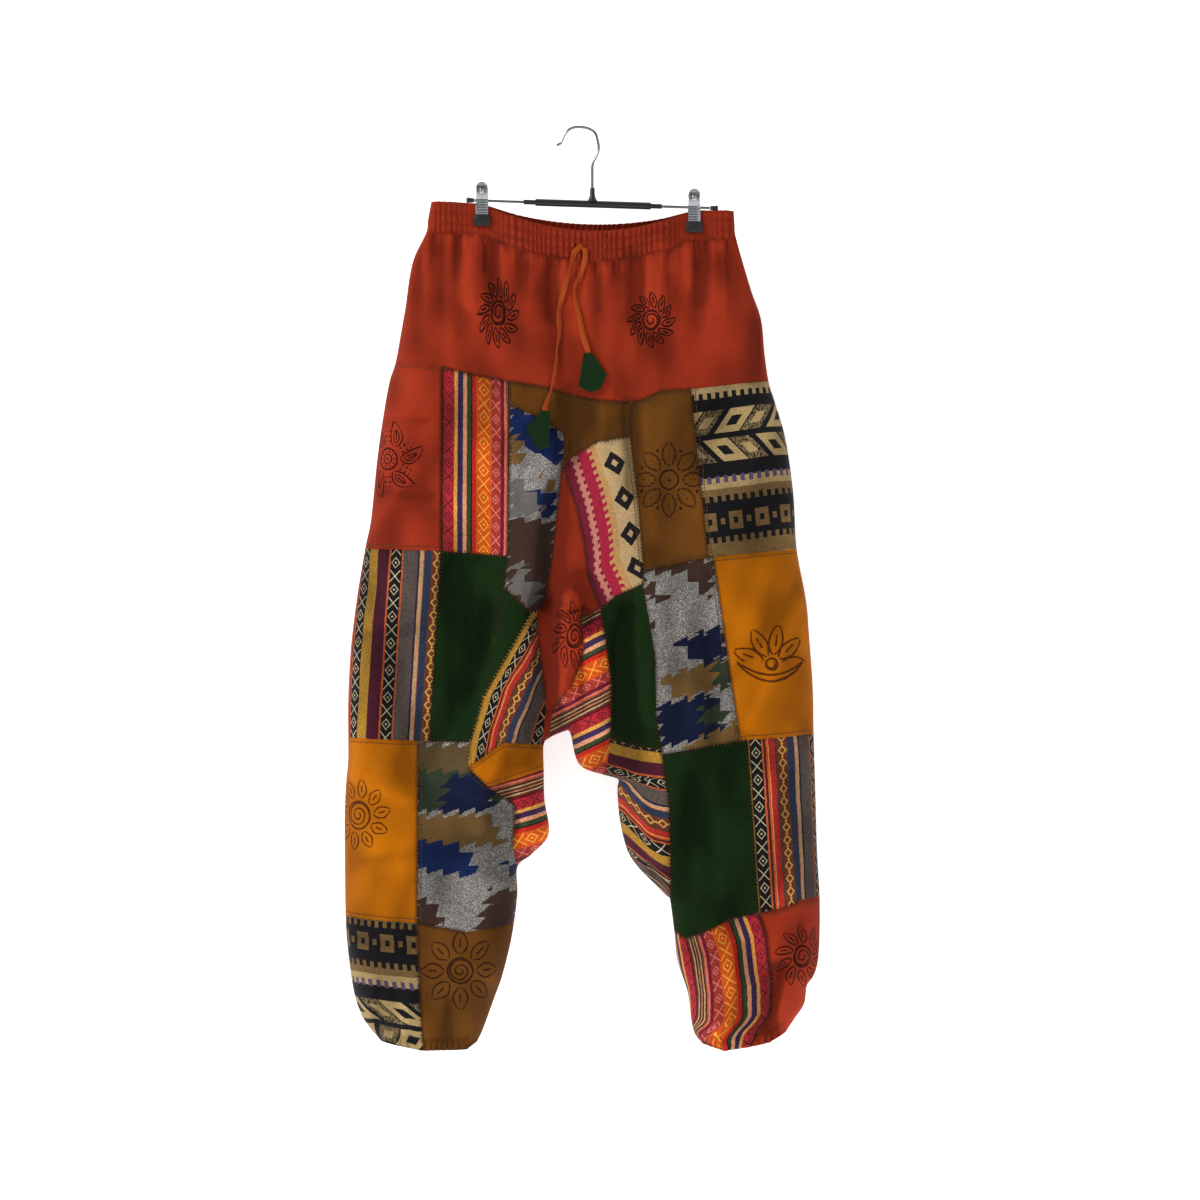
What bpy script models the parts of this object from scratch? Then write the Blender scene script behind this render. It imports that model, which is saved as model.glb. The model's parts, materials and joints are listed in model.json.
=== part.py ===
"""Patchwork harem trousers, clipped by the waist to a metal hanger.

Metres, +Z up, front towards -Y. The origin is the inner top of the hook, where a rail carries it.
The tables give millimetres: "across" runs along +X from the origin, "drop" runs down from it.
"""

from math import pi

import bmesh
import bpy
import numpy as np
from mathutils import Matrix, Vector

MM = 0.001
WALL = 2.0  # the cloth
SEAM_GAP = 0.3  # between neighbouring pieces
FOLD_INSET = 0.6  # how far a folded piece stops short of its seam
CELL = 42.0  # the usual facet of the cloth
FOLD_CELL = 21.0  # a facet of the folded pieces between the legs
ROUNDING = (0, 1.5, 7, 19)  # facet lines this far in from where the cloth turns to the back
ROUND_STEPS = 20  # sides of a turned piece

# ---------------------------------------------------------------- the outline of the hung garment
# (across, drop), from the waist down each outer side
OUTER_LEFT = (
    (-172, 87), (-176, 108), (-178, 123), (-192, 152), (-198, 178), (-202, 208), (-208, 243),
    (-214, 276), (-222, 302), (-231, 355), (-237, 402), (-243, 461), (-250, 496), (-260, 556),
    (-267, 615), (-270, 674), (-270, 717), (-270, 745), (-273, 780), (-274, 830), (-273, 926),
    (-270, 970), (-263, 1018), (-254, 1045), (-244, 1060), (-232, 1074),
)
OUTER_RIGHT = (
    (183, 98), (184, 115), (186, 131), (203, 190), (215, 225), (219, 264), (224, 299), (232, 325),
    (244, 367), (253, 430), (257, 496), (268, 556), (272, 603), (276, 660), (277, 713), (279, 780),
    (281, 851), (284, 904), (284, 950), (282, 981), (277, 998), (269, 1010), (266, 1031),
    (255, 1048), (245, 1063),
)
# from the left hem up the inseam, over the crotch and down to the right hem
INSEAM = (
    (-119, 1075), (-112, 1060), (-99, 1024), (-90, 999), (-81, 964), (-76, 936), (-72, 902),
    (-72, 870), (-54, 854), (-35, 831), (-40, 792), (-41, 755), (-41, 726), (-34, 718),
    (-19, 711), (-9, 711), (-2, 741), (8, 754), (33, 762), (48, 767), (47, 780), (50, 815),
    (59, 851), (73, 872), (91, 890), (105, 904), (109, 908), (114, 945), (118, 981), (130, 1018),
    (134, 1049), (138, 1066), (146, 1077),
)
# drop, half the depth front to back, width over which the sides round in
FULLNESS = (
    (85, 12, 14), (131, 14, 18), (200, 22, 34), (276, 29, 46), (400, 35, 54), (560, 39, 58),
    (720, 41, 60), (900, 43, 60), (1000, 43, 58), (1045, 36, 52), (1083, 25, 44),
)

# ---------------------------------------------------------------- the waist
CLIP_ACROSS = (-113, 137)
BAND_TOP = ((-172, 87), (183, 98))
BAND_BOTTOM = ((-178, 123), (186, 131))
BAND_SAG = {"front": 30, "back": 19}  # between the clips
PINCHED = 1.45  # half the depth of the band under a clip
PINCH_REACH = 30
PINCH_FLAT = 4  # the power that keeps the band flat under a clip
MOUTH_END = 6  # half the depth past the clips
CHANNELS = 3
YOKE_ROWS = 6
CHANNEL_RIDGE = 2.2  # how far the elastic channels stand out

# ---------------------------------------------------------------- folds
# across and drop of both ends, half width, height (+ stands out, - lies in)
FRONT_FOLDS = (
    (-123, 140, -123, 205, 10, 5), (-98, 140, -96, 215, 10, -5), (-32, 160, -30, 220, 10, -4),
    (-2, 165, 4, 235, 12, 5), (62, 155, 63, 225, 11, -4), (95, 150, 95, 230, 12, 5),
    (144, 145, 144, 200, 10, -4),
    (-10, 320, -12, 385, 14, -6), (62, 330, 66, 430, 10, -5),
    (-28, 430, -40, 560, 15, -12), (-41, 560, -39, 705, 16, -14),
    (-8, 555, -14, 665, 11, 10), (8, 535, 14, 575, 12, -9),
    (-62, 430, -76, 545, 32, 7), (35, 400, 46, 520, 26, 5),
    (-78, 610, -122, 735, 24, 15), (-106, 560, -124, 700, 16, -6),
    (18, 610, 20, 700, 14, 9), (80, 545, 86, 690, 12, 8), (56, 570, 62, 700, 14, -6),
    (-60, 770, -50, 830, 14, 8), (-88, 800, -90, 870, 16, -7),
    (62, 780, 84, 850, 16, 7), (236, 985, 222, 1052, 9, -8), (252, 1010, 246, 1040, 12, 6),
)
BACK_FOLDS = (
    (-118, 140, -116, 205, 11, 5), (-70, 145, -68, 215, 11, -5), (-20, 150, -20, 225, 12, 5),
    (40, 150, 42, 215, 11, -5), (92, 145, 92, 225, 12, 5), (140, 145, 140, 205, 10, -4),
    (-150, 330, -95, 470, 26, -5), (160, 330, 110, 470, 26, -5),
    (-95, 430, -30, 690, 30, 9), (105, 430, 40, 700, 30, 9),
    (5, 420, 2, 690, 22, -10), (-130, 620, -110, 760, 20, -6), (130, 640, 112, 780, 20, -6),
)

# ---------------------------------------------------------------- corners of the patchwork
# a..c across the left leg and d..f across the right one; 0 is the yoke seam and 4 the hem
PLACES = {
    "a0": (-214, 276), "b0": (-159, 284), "y1": (-116, 294), "c0": (-79, 301),
    "y2": (-34, 308), "y3": (-4, 317), "y4": (26, 323), "y5": (64, 325), "y6": (79, 321),
    "y7": (97, 312), "e0": (132, 310), "f0": (224, 299),
    "a1": (-250, 496), "b1": (-160, 499), "c1": (-81, 505),
    "a2": (-270, 717), "b2": (-186, 720), "b2_low": (-173, 721), "c2": (-123, 721),
    "a3": (-273, 926), "b3": (-187, 932), "z3": (-130, 942), "c3": (-76, 936),
    "a4": (-232, 1074), "b4": (-181, 1083), "h1": (-130, 1083), "c4": (-119, 1075),
    "d1": (77, 522), "e1": (152, 507), "e1_low": (158, 506), "f1": (257, 496),
    "d2": (98, 736), "e2": (189, 720), "e2_low": (198, 719), "f2": (277, 713),
    "r1": (106, 792), "r2": (108, 850), "s1": (105, 904), "s2": (109, 908),
    "d3": (114, 945), "t1": (126, 952), "t2": (142, 946), "t3": (178, 928), "e3": (211, 920),
    "t4": (239, 915), "t5": (260, 906), "f3": (284, 904),
    "u1": (220, 945), "u2": (226, 1000), "u3": (226, 1038), "u4": (211, 1058),
    "d4": (146, 1077), "h2": (172, 1084), "e4": (204, 1078), "h3": (224, 1074), "f4": (245, 1063),
    "c_top": (-79, 329), "k1": (-45, 343), "k2": (-16, 362), "k3": (-18, 396),
    "k4": (22, 372), "k5": (61, 365),
    "w1": (-21, 409), "w2": (-15, 409), "w3": (-26, 473), "w4": (-32, 520), "w5": (-38, 555),
    "w6": (-48, 571), "w7": (-44, 620), "w8": (-37, 674), "crotch_left": (-41, 726),
    "crotch_right": (-34, 718), "i1": (0, 452), "i2": (8, 491), "i3": (12, 527), "i4": (27, 566),
    "i5": (45, 551), "i6": (76, 537), "i7": (70, 438),
    "v1": (2, 577), "v2": (8, 612), "v3": (-7, 657), "v4": (-29, 684),
    "g1": (-85, 542), "g2": (-70, 556), "g3": (-54, 573), "g4": (-104.6, 663), "g5": (-108, 669),
    "g6": (-96, 603), "tip": (-127, 750), "l1": (-88, 722), "m1": (-104, 774), "m2": (-73, 795),
    "m3": (-76, 843), "m4": (-72, 870), "m5": (-41, 755), "m6": (-54, 854),
    "o1": (39, 653), "o2": (38, 718), "o3": (67, 726), "o4": (98, 730), "o5": (33, 762),
    "o6": (90, 623), "o7": (91, 689),
    # the back: B is its outer column seam, M its centre seam
    "B0": (-118, 296), "M0": (8, 314), "E0": (122, 308),
    "B1": (-128, 504), "M1": (6, 512), "E1": (142, 503),
    "B2": (-150, 722), "M2": (-19, 711), "E2": (172, 716),
    "B3": (-160, 926), "E3": (192, 916), "B4": (-176, 1083), "E4": (197, 1080),
}

# name, cloth, then each side as places in a row; ">" goes along the outline to the next place
FRONT_PATCHES = (
    ("patch_front_rust_left", "rust", "a0 b0", "b0 b1", "a1 b1", "a0 > a1"),
    ("patch_front_warm_left", "warm", "b0 y1 c0", "c0 c_top c1", "b1 c1", "b0 b1"),
    ("patch_front_dark_left", "dark", "a1 b1", "b1 b2_low", "a2 b2 b2_low", "a1 > a2"),
    ("patch_front_green_left", "green", "b1 c1", "c1 g1 g6 g5 c2", "b2_low c2", "b1 b2_low"),
    ("patch_front_mustard_left", "mustard", "a2 b2", "b2 b3", "a3 b3", "a2 > a3"),
    ("patch_front_zigzag_left", "zigzag", "b2 b2_low c2", "c2 tip m1 m2 m3 m4 > c3",
     "b3 z3 c3", "b2 b3"),
    ("patch_front_ikat_left", "ikat", "a3 b3", "b3 b4", "a4 b4", "a3 > a4"),
    ("patch_front_olive_left", "olive", "b3 z3 c3", "c3 > c4", "b4 h1 c4", "b3 b4"),
    ("gusset_olive_centre", "olive", "c0 y2 y3 y4 y5", "y5 k5", "c_top k1 k2 k3 k4 k5", "c0 c_top"),
    ("gusset_zigzag", "zigzag", "c_top k1 k2", "k2 k3 w1 w3 w4 w5 w6", "g1 g2 g3 w6",
     "c_top c1 g1"),
    ("gusset_green_left", "green", "g1 g2 g3", "g3 g4", "g5 g4", "g1 g6 g5"),
    ("gusset_dark_fold", "dark", "g3 w6", "w6 w7 w8 crotch_left", "tip l1 crotch_left",
     "g3 g5 c2 tip"),
    ("gusset_rust", "rust", "w1 w2", "w2 i1 i2 i3 i4 v1 v2 v3 v4 crotch_right",
     "crotch_left > crotch_right", "w1 w3 w4 w5 w6 w7 w8 crotch_left"),
    ("gusset_ikat", "ikat_red", "k3 k4 k5", "k5 i7 d1 i6", "i4 i5 i6", "k3 w2 i1 i2 i3 i4"),
    ("gusset_green_right", "green", "i4 i5 i6", "i6 o6 o7 o4", "o2 o3 o4", "i4 o1 o2"),
    ("gusset_warm", "warm", "v1 i4", "i4 o1 o2 o5", "crotch_right > o5",
     "v1 v2 v3 v4 crotch_right"),
    ("inseam_mustard_left", "mustard", "tip l1 crotch_left", "crotch_left > m5", "m1 m5",
     "tip m1"),
    ("inseam_warm_left", "warm", "m1 m5", "m5 > m6", "m4 > m6", "m1 m2 m3 m4"),
    ("inseam_dark_right", "dark", "o2 o3 o4", "o4 d2 r1 r2 s2", "s1 > s2", "o2 o5 > s1"),
    ("patch_front_olive_right", "olive", "y5 y6 y7 e0", "e0 e1", "d1 e1", "y5 k5 i7 d1"),
    ("patch_front_ikat_right", "ikat", "e0 f0", "f0 > f1", "e1 e1_low f1", "e0 e1"),
    ("patch_front_zigzag_right", "zigzag", "d1 e1 e1_low", "e1_low e2", "d2 e2",
     "d1 i6 o6 o7 o4 d2"),
    ("patch_front_mustard_right", "mustard", "e1_low f1", "f1 > f2", "e2 e2_low f2", "e1_low e2"),
    ("patch_front_green_right", "green", "d2 e2 e2_low", "e2_low e3", "d3 t1 t2 t3 e3",
     "d2 r1 r2 s2 > d3"),
    ("patch_front_dark_right", "dark", "e2_low f2", "f2 > f3", "e3 t4 t5 f3", "e2_low e3"),
    ("patch_front_warm_right", "warm", "d3 t1 t2 t3 e3", "e3 u1 u2 u3 u4 e4", "d4 h2 e4",
     "d3 > d4"),
    ("patch_front_rust_right", "rust", "e3 t4 t5 f3", "f3 > f4", "e4 h3 f4",
     "e3 u1 u2 u3 u4 e4"),
)
BACK_PATCHES = (
    ("patch_back_mustard_left", "mustard", "a0 B0", "B0 B1", "a1 B1", "a0 > a1"),
    ("patch_back_zigzag_left", "zigzag", "B0 M0", "M0 M1", "B1 M1", "B0 B1"),
    ("patch_back_dark_left", "dark", "a1 B1", "B1 B2", "a2 B2", "a1 > a2"),
    ("patch_back_rust_left", "rust", "B1 M1", "M1 M2", "B2 crotch_left > M2", "B1 B2"),
    ("patch_back_green_left", "green", "a2 B2", "B2 B3", "a3 B3", "a2 > a3"),
    ("patch_back_warm_left", "warm", "B2 crotch_left", "crotch_left > c3", "B3 c3", "B2 B3"),
    ("patch_back_ikat_left", "ikat", "a3 B3", "B3 B4", "a4 B4", "a3 > a4"),
    ("patch_back_mustard_hem_left", "mustard", "B3 c3", "c3 > c4", "B4 h1 c4", "B3 B4"),
    ("patch_back_warm_right", "warm", "E0 f0", "f0 > f1", "E1 f1", "E0 E1"),
    ("patch_back_olive_right", "olive", "M0 E0", "E0 E1", "M1 E1", "M0 M1"),
    ("patch_back_green_right", "green", "E1 f1", "f1 > f2", "E2 f2", "E1 E2"),
    ("patch_back_ikat_right", "ikat", "M1 E1", "E1 E2", "o5 E2", "M1 M2 > o5"),
    ("patch_back_rust_right", "rust", "E2 f2", "f2 > f3", "E3 f3", "E2 E3"),
    ("patch_back_dark_right", "dark", "o5 E2", "E2 E3", "d3 E3", "o5 > d3"),
    ("patch_back_olive_hem_right", "olive", "E3 f3", "f3 > f4", "E4 h3 f4", "E3 E4"),
    ("patch_back_zigzag_hem_right", "zigzag", "d3 E3", "E3 E4", "d4 h2 E4", "d3 > d4"),
)
FOLDED = (
    "patch_front_green_left", "patch_front_zigzag_left", "patch_back_ikat_right",
    "patch_back_dark_right", "patch_back_rust_left",
)
YOKE_BACK_SEAM = "a0 B0 M0 E0 f0"
YOKE_FRONT_SEAM = "a0 b0 y1 c0 y2 y3 y4 y5 y6 y7 e0 f0"

# sRGB colour, roughness
CLOTHS = {
    "rust": ((0.61, 0.20, 0.12), 0.9), "mustard": ((0.71, 0.41, 0.03), 0.9),
    "green": ((0.09, 0.22, 0.08), 0.9), "olive": ((0.45, 0.28, 0.09), 0.9),
    "warm": ((0.72, 0.26, 0.16), 0.9), "dark": ((0.35, 0.22, 0.18), 0.9),
    "zigzag": ((0.46, 0.44, 0.42), 0.95), "ikat": ((0.30, 0.27, 0.20), 0.95),
    "ikat_red": ((0.56, 0.28, 0.28), 0.95), "string": ((0.82, 0.37, 0.16), 0.9),
}

# ---------------------------------------------------------------- the drawstring and its tags
STRING_ROUND = 3.2  # the folded tape, as a round cord
STRING_LEFT = (
    (5, 140), (-4, 149), (-9, 169), (-14, 186), (-19, 204), (-22, 222), (-21, 241), (-24, 262),
    (-25, 278), (-30, 308), (-35, 322), (-37.5, 331), (-37.6, 335.4),
)
STRING_RIGHT = (
    (8, 143), (9, 153), (6, 166), (2, 178), (-3, 190), (-2, 204), (2, 225), (5, 242), (9, 256),
    (11.8, 264), (12, 267.4),
)
STRING_CLEAR = 3.3  # from the cloth's middle to the string's
STRING_REACH = 9.0  # the cloth this near holds the string out
TAG_LEFT = ((-42, 336), (-32, 336), (-33, 377), (-47, 382), (-60, 355))
TAG_RIGHT = ((7, 268), (17, 268), (34, 294), (26, 310), (15, 314), (1, 307))
TAG_THICK = 3.0
TAG_CLEAR = 3.4  # from the cloth's middle to the tag's

# ---------------------------------------------------------------- the hanger
WIRE = 3.2
HOOK = (
    (-25, 20), (-20, 17), (-17, 10), (-12.5, 3), (-6, -0.8), (2, -1.6), (12, 0), (20, 5),
    (23, 13), (24.6, 23), (22.5, 31), (18.5, 38.7), (17, 46), (17, 58), (17, 70),
)
BAR_LINE = ((-131.5, 84.6), (164.7, 94.2))  # the middle of the whole bar
ROD_REACH = (-121.8, 155.6)
ROD_WIRE = 3.0
SLEEVE_REACH = (-50, 86)
SLEEVE_ACROSS = 8.4
LINER_REACH = (-64, 99)
LINER_ACROSS = 5.6
BORE = 3.6
# drop, radius
NECK = ((70.3, 0), (70.3, 2.6), (79, 3.1), (83, 4.4), (85.6, 6.2), (86.8, 6.2), (86.8, 0))
KNOB_LONG = 9.3
KNOB_ACROSS = (4.6, 6.6)
# one half of a clip: drop below the bar, half width, inner and outer depth
CLIP_HALF = (
    (-21.0, 1.8, 8.6, 9.8), (-20.3, 3.9, 8.5, 9.7), (-18.6, 5.9, 8.1, 9.3),
    (-16.0, 7.1, 7.5, 8.7), (-13.0, 7.5, 6.8, 8.0), (-2.0, 7.5, 4.2, 5.4),
    (-2.0, 7.5, 1.85, 5.4), (1.6, 7.5, 1.85, 5.2), (1.6, 7.5, 3.9, 5.2),
    (17.0, 7.5, 3.3, 4.5), (17.0, 10.0, 3.1, 6.6), (29.5, 10.0, 3.1, 6.2),
    (30.5, 9.4, 3.1, 5.4),
)


# ---------------------------------------------------------------- lines
def spline(points, steps=6):
    """A smooth line through the points, as an array that keeps every one of them."""
    p = np.array(points, float)
    ends = np.vstack([2 * p[0] - p[1], p, 2 * p[-1] - p[-2]])
    out = []
    for k in range(1, len(ends) - 2):
        a, b, c, d = ends[k - 1 : k + 3]
        for t in np.arange(steps) / steps:
            out.append(
                0.5 * (2 * b + (c - a) * t + (2 * a - 5 * b + 4 * c - d) * t**2
                       + (3 * b - a - 3 * c + d) * t**3)
            )
    return np.array(out + [p[-1]])


OUTLINES = [spline(line) for line in (OUTER_LEFT, OUTER_RIGHT, INSEAM)]
INWARD = (1, -1, -1)  # which side of each outline holds the cloth


def along_outline(a, b):
    """The stretch of an outline between two places on it, both included."""
    for line in OUTLINES:
        gaps = [np.linalg.norm(line - np.array(p), axis=1) for p in (a, b)]
        if gaps[0].min() < 0.1 and gaps[1].min() < 0.1:
            i, j = gaps[0].argmin(), gaps[1].argmin()
            return line[i : j + 1] if i < j else line[j : i + 1][::-1]
    raise ValueError(f"no outline joins {a} and {b}")


def side_line(text):
    """A side of a patch from its places: its points, and how far along each inner place lies."""
    words = text.split()
    line = np.array([PLACES[words[0]]], float)
    stops = []
    for before, word in zip(words, words[1:]):
        if word == ">":
            continue
        if before == ">":
            start = words[words.index(word) - 2]
            more = along_outline(PLACES[start], PLACES[word])[1:]
        else:
            more = np.array([PLACES[word]], float)
        line = np.vstack([line, more])
        stops.append(length_of(line))
    return line, stops[:-1]


def length_of(line):
    return np.linalg.norm(np.diff(line, axis=0), axis=1).sum()


def at_lengths(line, want, stops=()):
    """The points that far along the line, the nearest of them moved onto each stop."""
    want = np.array(want, float)
    first, left = 1, len(stops)
    for stop in stops:
        free = want[first : len(want) - left]
        first += int(np.abs(free - stop).argmin())
        want[first] = stop
        first, left = first + 1, left - 1
    at = np.concatenate([[0], np.cumsum(np.linalg.norm(np.diff(line, axis=0), axis=1))])
    return np.column_stack([np.interp(want, at, line[:, k]) for k in (0, 1)])


def spaced(line, stops, count, start, end):
    """Points along a line: close together where it rounds into the garment's edge, even between."""
    long = length_of(line)
    scale = min(1, 0.4 * long / ROUNDING[-1])
    head = [r * scale for r in ROUNDING] if start else [0]
    tail = [long - r * scale for r in ROUNDING[::-1]] if end else [long]
    want = head + list(np.linspace(head[-1], tail[0], count + 1)[1:-1]) + tail
    return at_lengths(line, want, stops)


# ---------------------------------------------------------------- the cloth's form
def to_outline(flat):
    """How far each (across, drop) lies from the nearest outline, and the way inward from it."""
    best = np.full(len(flat), np.inf)
    inward = np.zeros((len(flat), 2))
    for line, hand in zip(OUTLINES, INWARD):
        for a, b in zip(line[:-1], line[1:]):
            step = b - a
            share = np.clip((flat - a) @ step / (step @ step), 0, 1)
            offset = flat - (a + share[:, None] * step)
            gap = np.linalg.norm(offset, axis=1)
            square = hand * np.array([step[1], -step[0]]) / np.linalg.norm(step)
            way = np.where(gap[:, None] > 0.05, offset / np.maximum(gap, 1e-9)[:, None], square)
            near = gap < best - 1e-9
            best[near], inward[near] = gap[near], way[near]
    return best, inward


def band_line(across, ends, sag):
    """The drop of a waistband edge: straight from side to side, with a sag between the clips."""
    (x0, z0), (x1, z1) = ends
    middle, half = sum(CLIP_ACROSS) / 2, (CLIP_ACROSS[1] - CLIP_ACROSS[0]) / 2
    u = np.clip((across - middle) / half, -1, 1)
    return z0 + (z1 - z0) * (across - x0) / (x1 - x0) + sag * (1 - u**2)


def half_depth(across, drop, gap, layer):
    """How far the cloth's middle stands from the garment's middle plane."""
    rows = np.array(FULLNESS, float)
    deep, rounding = (np.interp(drop, rows[:, 0], rows[:, k]) for k in (1, 2))
    body = deep * np.sqrt(1 - (1 - np.clip(gap / rounding, 0, 1)) ** 2)
    pinch = sum(np.exp(-(((across - x) / PINCH_REACH) ** PINCH_FLAT)) for x in CLIP_ACROSS)
    between = (across > CLIP_ACROSS[0]) & (across < CLIP_ACROSS[1])
    deep_waist = np.where(between, FULLNESS[0][1], MOUTH_END)
    waist = (PINCHED + (deep_waist - PINCHED) * (1 - np.clip(pinch, 0, 1))) * np.sqrt(
        1 - (1 - np.clip(gap / FULLNESS[0][2], 0, 1)) ** 2
    )
    top, bottom = (band_line(across, ends, BAND_SAG[layer]) for ends in (BAND_TOP, BAND_BOTTOM))
    channel = np.abs(np.sin(CHANNELS * pi * np.clip((drop - top) / (bottom - top), 0, 1)))
    waist = waist + CHANNEL_RIDGE * channel * (1 - np.clip(pinch, 0, 1)) * np.clip(gap / 6, 0, 1)
    share = np.clip((drop - bottom) / 130, 0, 1)
    share = share * share * (3 - 2 * share)
    fold = np.zeros_like(gap)
    for x0, z0, x1, z1, wide, high in FRONT_FOLDS if layer == "front" else BACK_FOLDS:
        length = max((x1 - x0) ** 2 + (z1 - z0) ** 2, 1e-9)
        t = np.clip(((across - x0) * (x1 - x0) + (drop - z0) * (z1 - z0)) / length, 0, 1)
        away = np.hypot(across - x0 - t * (x1 - x0), drop - z0 - t * (z1 - z0))
        fold = fold + high * np.exp(-((away / wide) ** 2))
    clear = np.clip(gap / 30, 0, 1) ** 2
    settled = np.clip((drop - bottom) / 30, 0, 1)
    return (1 - share) * waist + share * body + fold * clear * settled


def cloth_points(flat, layer, gap_given=None):
    """The middle of the cloth, and its outward normal, at each (across, drop)."""
    side = -1 if layer == "front" else 1
    gap, inward = to_outline(flat) if gap_given is None else gap_given
    across, drop = flat[:, 0], flat[:, 1]
    depth = half_depth(across, drop, gap, layer) + SEAM_GAP / 2
    step = 0.03
    near = np.maximum(gap, 0.06)
    slopes = []
    for dx, dz in ((step, 0), (0, step)):
        shift = inward[:, 0] * dx + inward[:, 1] * dz
        ahead = half_depth(across + dx, drop + dz, near + shift, layer)
        behind = half_depth(across - dx, drop - dz, near - shift, layer)
        slopes.append((ahead - behind) / (2 * step))
    points = np.column_stack([across, side * depth, -drop])
    normals = np.column_stack([-slopes[0], np.full(len(flat), float(side)), slopes[1]])
    edge = gap < 0.02
    normals[edge] = np.column_stack([-inward[:, 0], np.zeros(len(flat)), inward[:, 1]])[edge]
    return points, normals / np.linalg.norm(normals, axis=1)[:, None]


def filled(top, right, bottom, left):
    """A grid of (across, drop) between four sides, which run rightwards and downwards."""
    u_shares = np.linalg.norm(np.diff(top, axis=0), axis=1) + np.linalg.norm(
        np.diff(bottom, axis=0), axis=1
    )
    u = np.concatenate([[0], np.cumsum(u_shares)]) / u_shares.sum()
    v_shares = np.linalg.norm(np.diff(left, axis=0), axis=1) + np.linalg.norm(
        np.diff(right, axis=0), axis=1
    )
    v = np.concatenate([[0], np.cumsum(v_shares)]) / v_shares.sum()
    u, v = u[None, :, None], v[:, None, None]
    across = (1 - v) * top[None] + v * bottom[None] + (1 - u) * left[:, None] + u * right[:, None]
    corners = (
        (1 - u) * (1 - v) * top[0] + u * (1 - v) * top[-1]
        + (1 - u) * v * bottom[0] + u * v * bottom[-1]
    )
    return across - corners


def on_outline(place):
    """Whether a place lies on the outline of the garment's sides."""
    return to_outline(np.array([place], float))[0][0] < 0.1


def patch_grid(sides, cell):
    """The flat grid of a patch from the text of its four sides: top, right, bottom, left."""
    lines, stops = zip(*(side_line(s) for s in sides))
    long = [length_of(line) for line in lines]
    steps = [
        max(2, len(stops[k]) + 1, len(stops[k + 2]) + 1, round(max(long[k], long[k + 2]) / cell))
        for k in (0, 1)
    ]
    runs = [">" in s for s in sides]
    made = []
    for k, line in enumerate(lines):
        before, after = ((3, 1), (0, 2))[k % 2]
        twins = [lines[j] for j in (k, (k + 2) % 4) if not runs[j]]
        start = runs[before] or any(on_outline(twin[0]) for twin in twins)
        end = runs[after] or any(on_outline(twin[-1]) for twin in twins)
        made.append(spaced(line, stops[k], steps[k % 2], start, end))
    return filled(*made)


# ---------------------------------------------------------------- making objects
def material(name, colour, roughness, metallic=0.0):
    """A Principled material of an sRGB colour."""
    linear = [c / 12.92 if c <= 0.04045 else ((c + 0.055) / 1.055) ** 2.4 for c in colour]
    made = bpy.data.materials.new(name)
    made.use_nodes = True
    shader = made.node_tree.nodes["Principled BSDF"]
    shader.inputs["Base Color"].default_value = (*linear, 1)
    shader.inputs["Roughness"].default_value = roughness
    shader.inputs["Metallic"].default_value = metallic
    made.diffuse_color = (*linear, 1)
    return made


def add_object(name, data, finish):
    """Puts mesh or curve data in the trousers' collection under a name."""
    made = bpy.data.objects.new(name, data)
    parts.objects.link(made)
    data.materials.append(finish)
    return made


def is_folded(name):
    """Whether a cloth piece lies in the deep folds between the legs."""
    return name in FOLDED or name.startswith(("gusset", "inseam"))


def wall(name, flat, layer, finish):
    """A cloth piece: a wall through the form at the flat grid, its edges half a seam gap in."""
    rows, columns = flat.shape[:2]
    gap, inward = to_outline(flat.reshape(-1, 2))
    points, normals = cloth_points(flat.reshape(-1, 2), layer, (gap, inward))
    middle, out = (a.reshape(rows, columns, 3) for a in (points, normals))
    pulled = middle.copy()
    for index, step in ((0, 1), (-1, -1)):
        for axis in (0, 1):
            edge = np.take(middle, index, axis=axis)
            inner = np.take(middle, index + step, axis=axis)
            way = inner - edge
            far = np.linalg.norm(way, axis=1, keepdims=True)
            along = np.gradient(edge, axis=0)
            along /= np.linalg.norm(along, axis=1, keepdims=True)
            square = way - (way * along).sum(1, keepdims=True) * along
            square /= np.maximum(np.linalg.norm(square, axis=1, keepdims=True), 1e-9)
            on_outline = (np.take(gap.reshape(rows, columns), index, axis=axis) < 0.02).all()
            inset = FOLD_INSET if is_folded(name) else SEAM_GAP / 2
            move = square * np.minimum(inset, far / 4) * (0 if on_outline else 1)
            place = (index, slice(None)) if axis == 0 else (slice(None), index)
            pulled[place] += move
    skins = [(pulled + s * WALL / 2 * out).reshape(-1, 3) * MM for s in (1, -1)]
    mesh = bmesh.new()
    outer, inner = ([mesh.verts.new(p) for p in skin] for skin in skins)

    def face(*corners):
        mesh.faces.new(corners if layer == "front" else corners[::-1])

    for i in range(rows - 1):
        for j in range(columns - 1):
            a, b, c, d = (i * columns + j, i * columns + j + 1,
                          (i + 1) * columns + j + 1, (i + 1) * columns + j)
            face(outer[a], outer[d], outer[c], outer[b])
            face(inner[a], inner[b], inner[c], inner[d])
    ring = [j for j in range(columns)]
    ring += [i * columns + columns - 1 for i in range(1, rows)]
    ring += [(rows - 1) * columns + j for j in range(columns - 2, -1, -1)]
    ring += [i * columns for i in range(rows - 2, 0, -1)]
    for a, b in zip(ring, ring[1:] + ring[:1]):
        face(outer[a], outer[b], inner[b], inner[a])
    bmesh.ops.triangulate(mesh, faces=mesh.faces)
    data = bpy.data.meshes.new(name)
    mesh.to_mesh(data)
    mesh.free()
    return add_object(name, data, finish)


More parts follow.
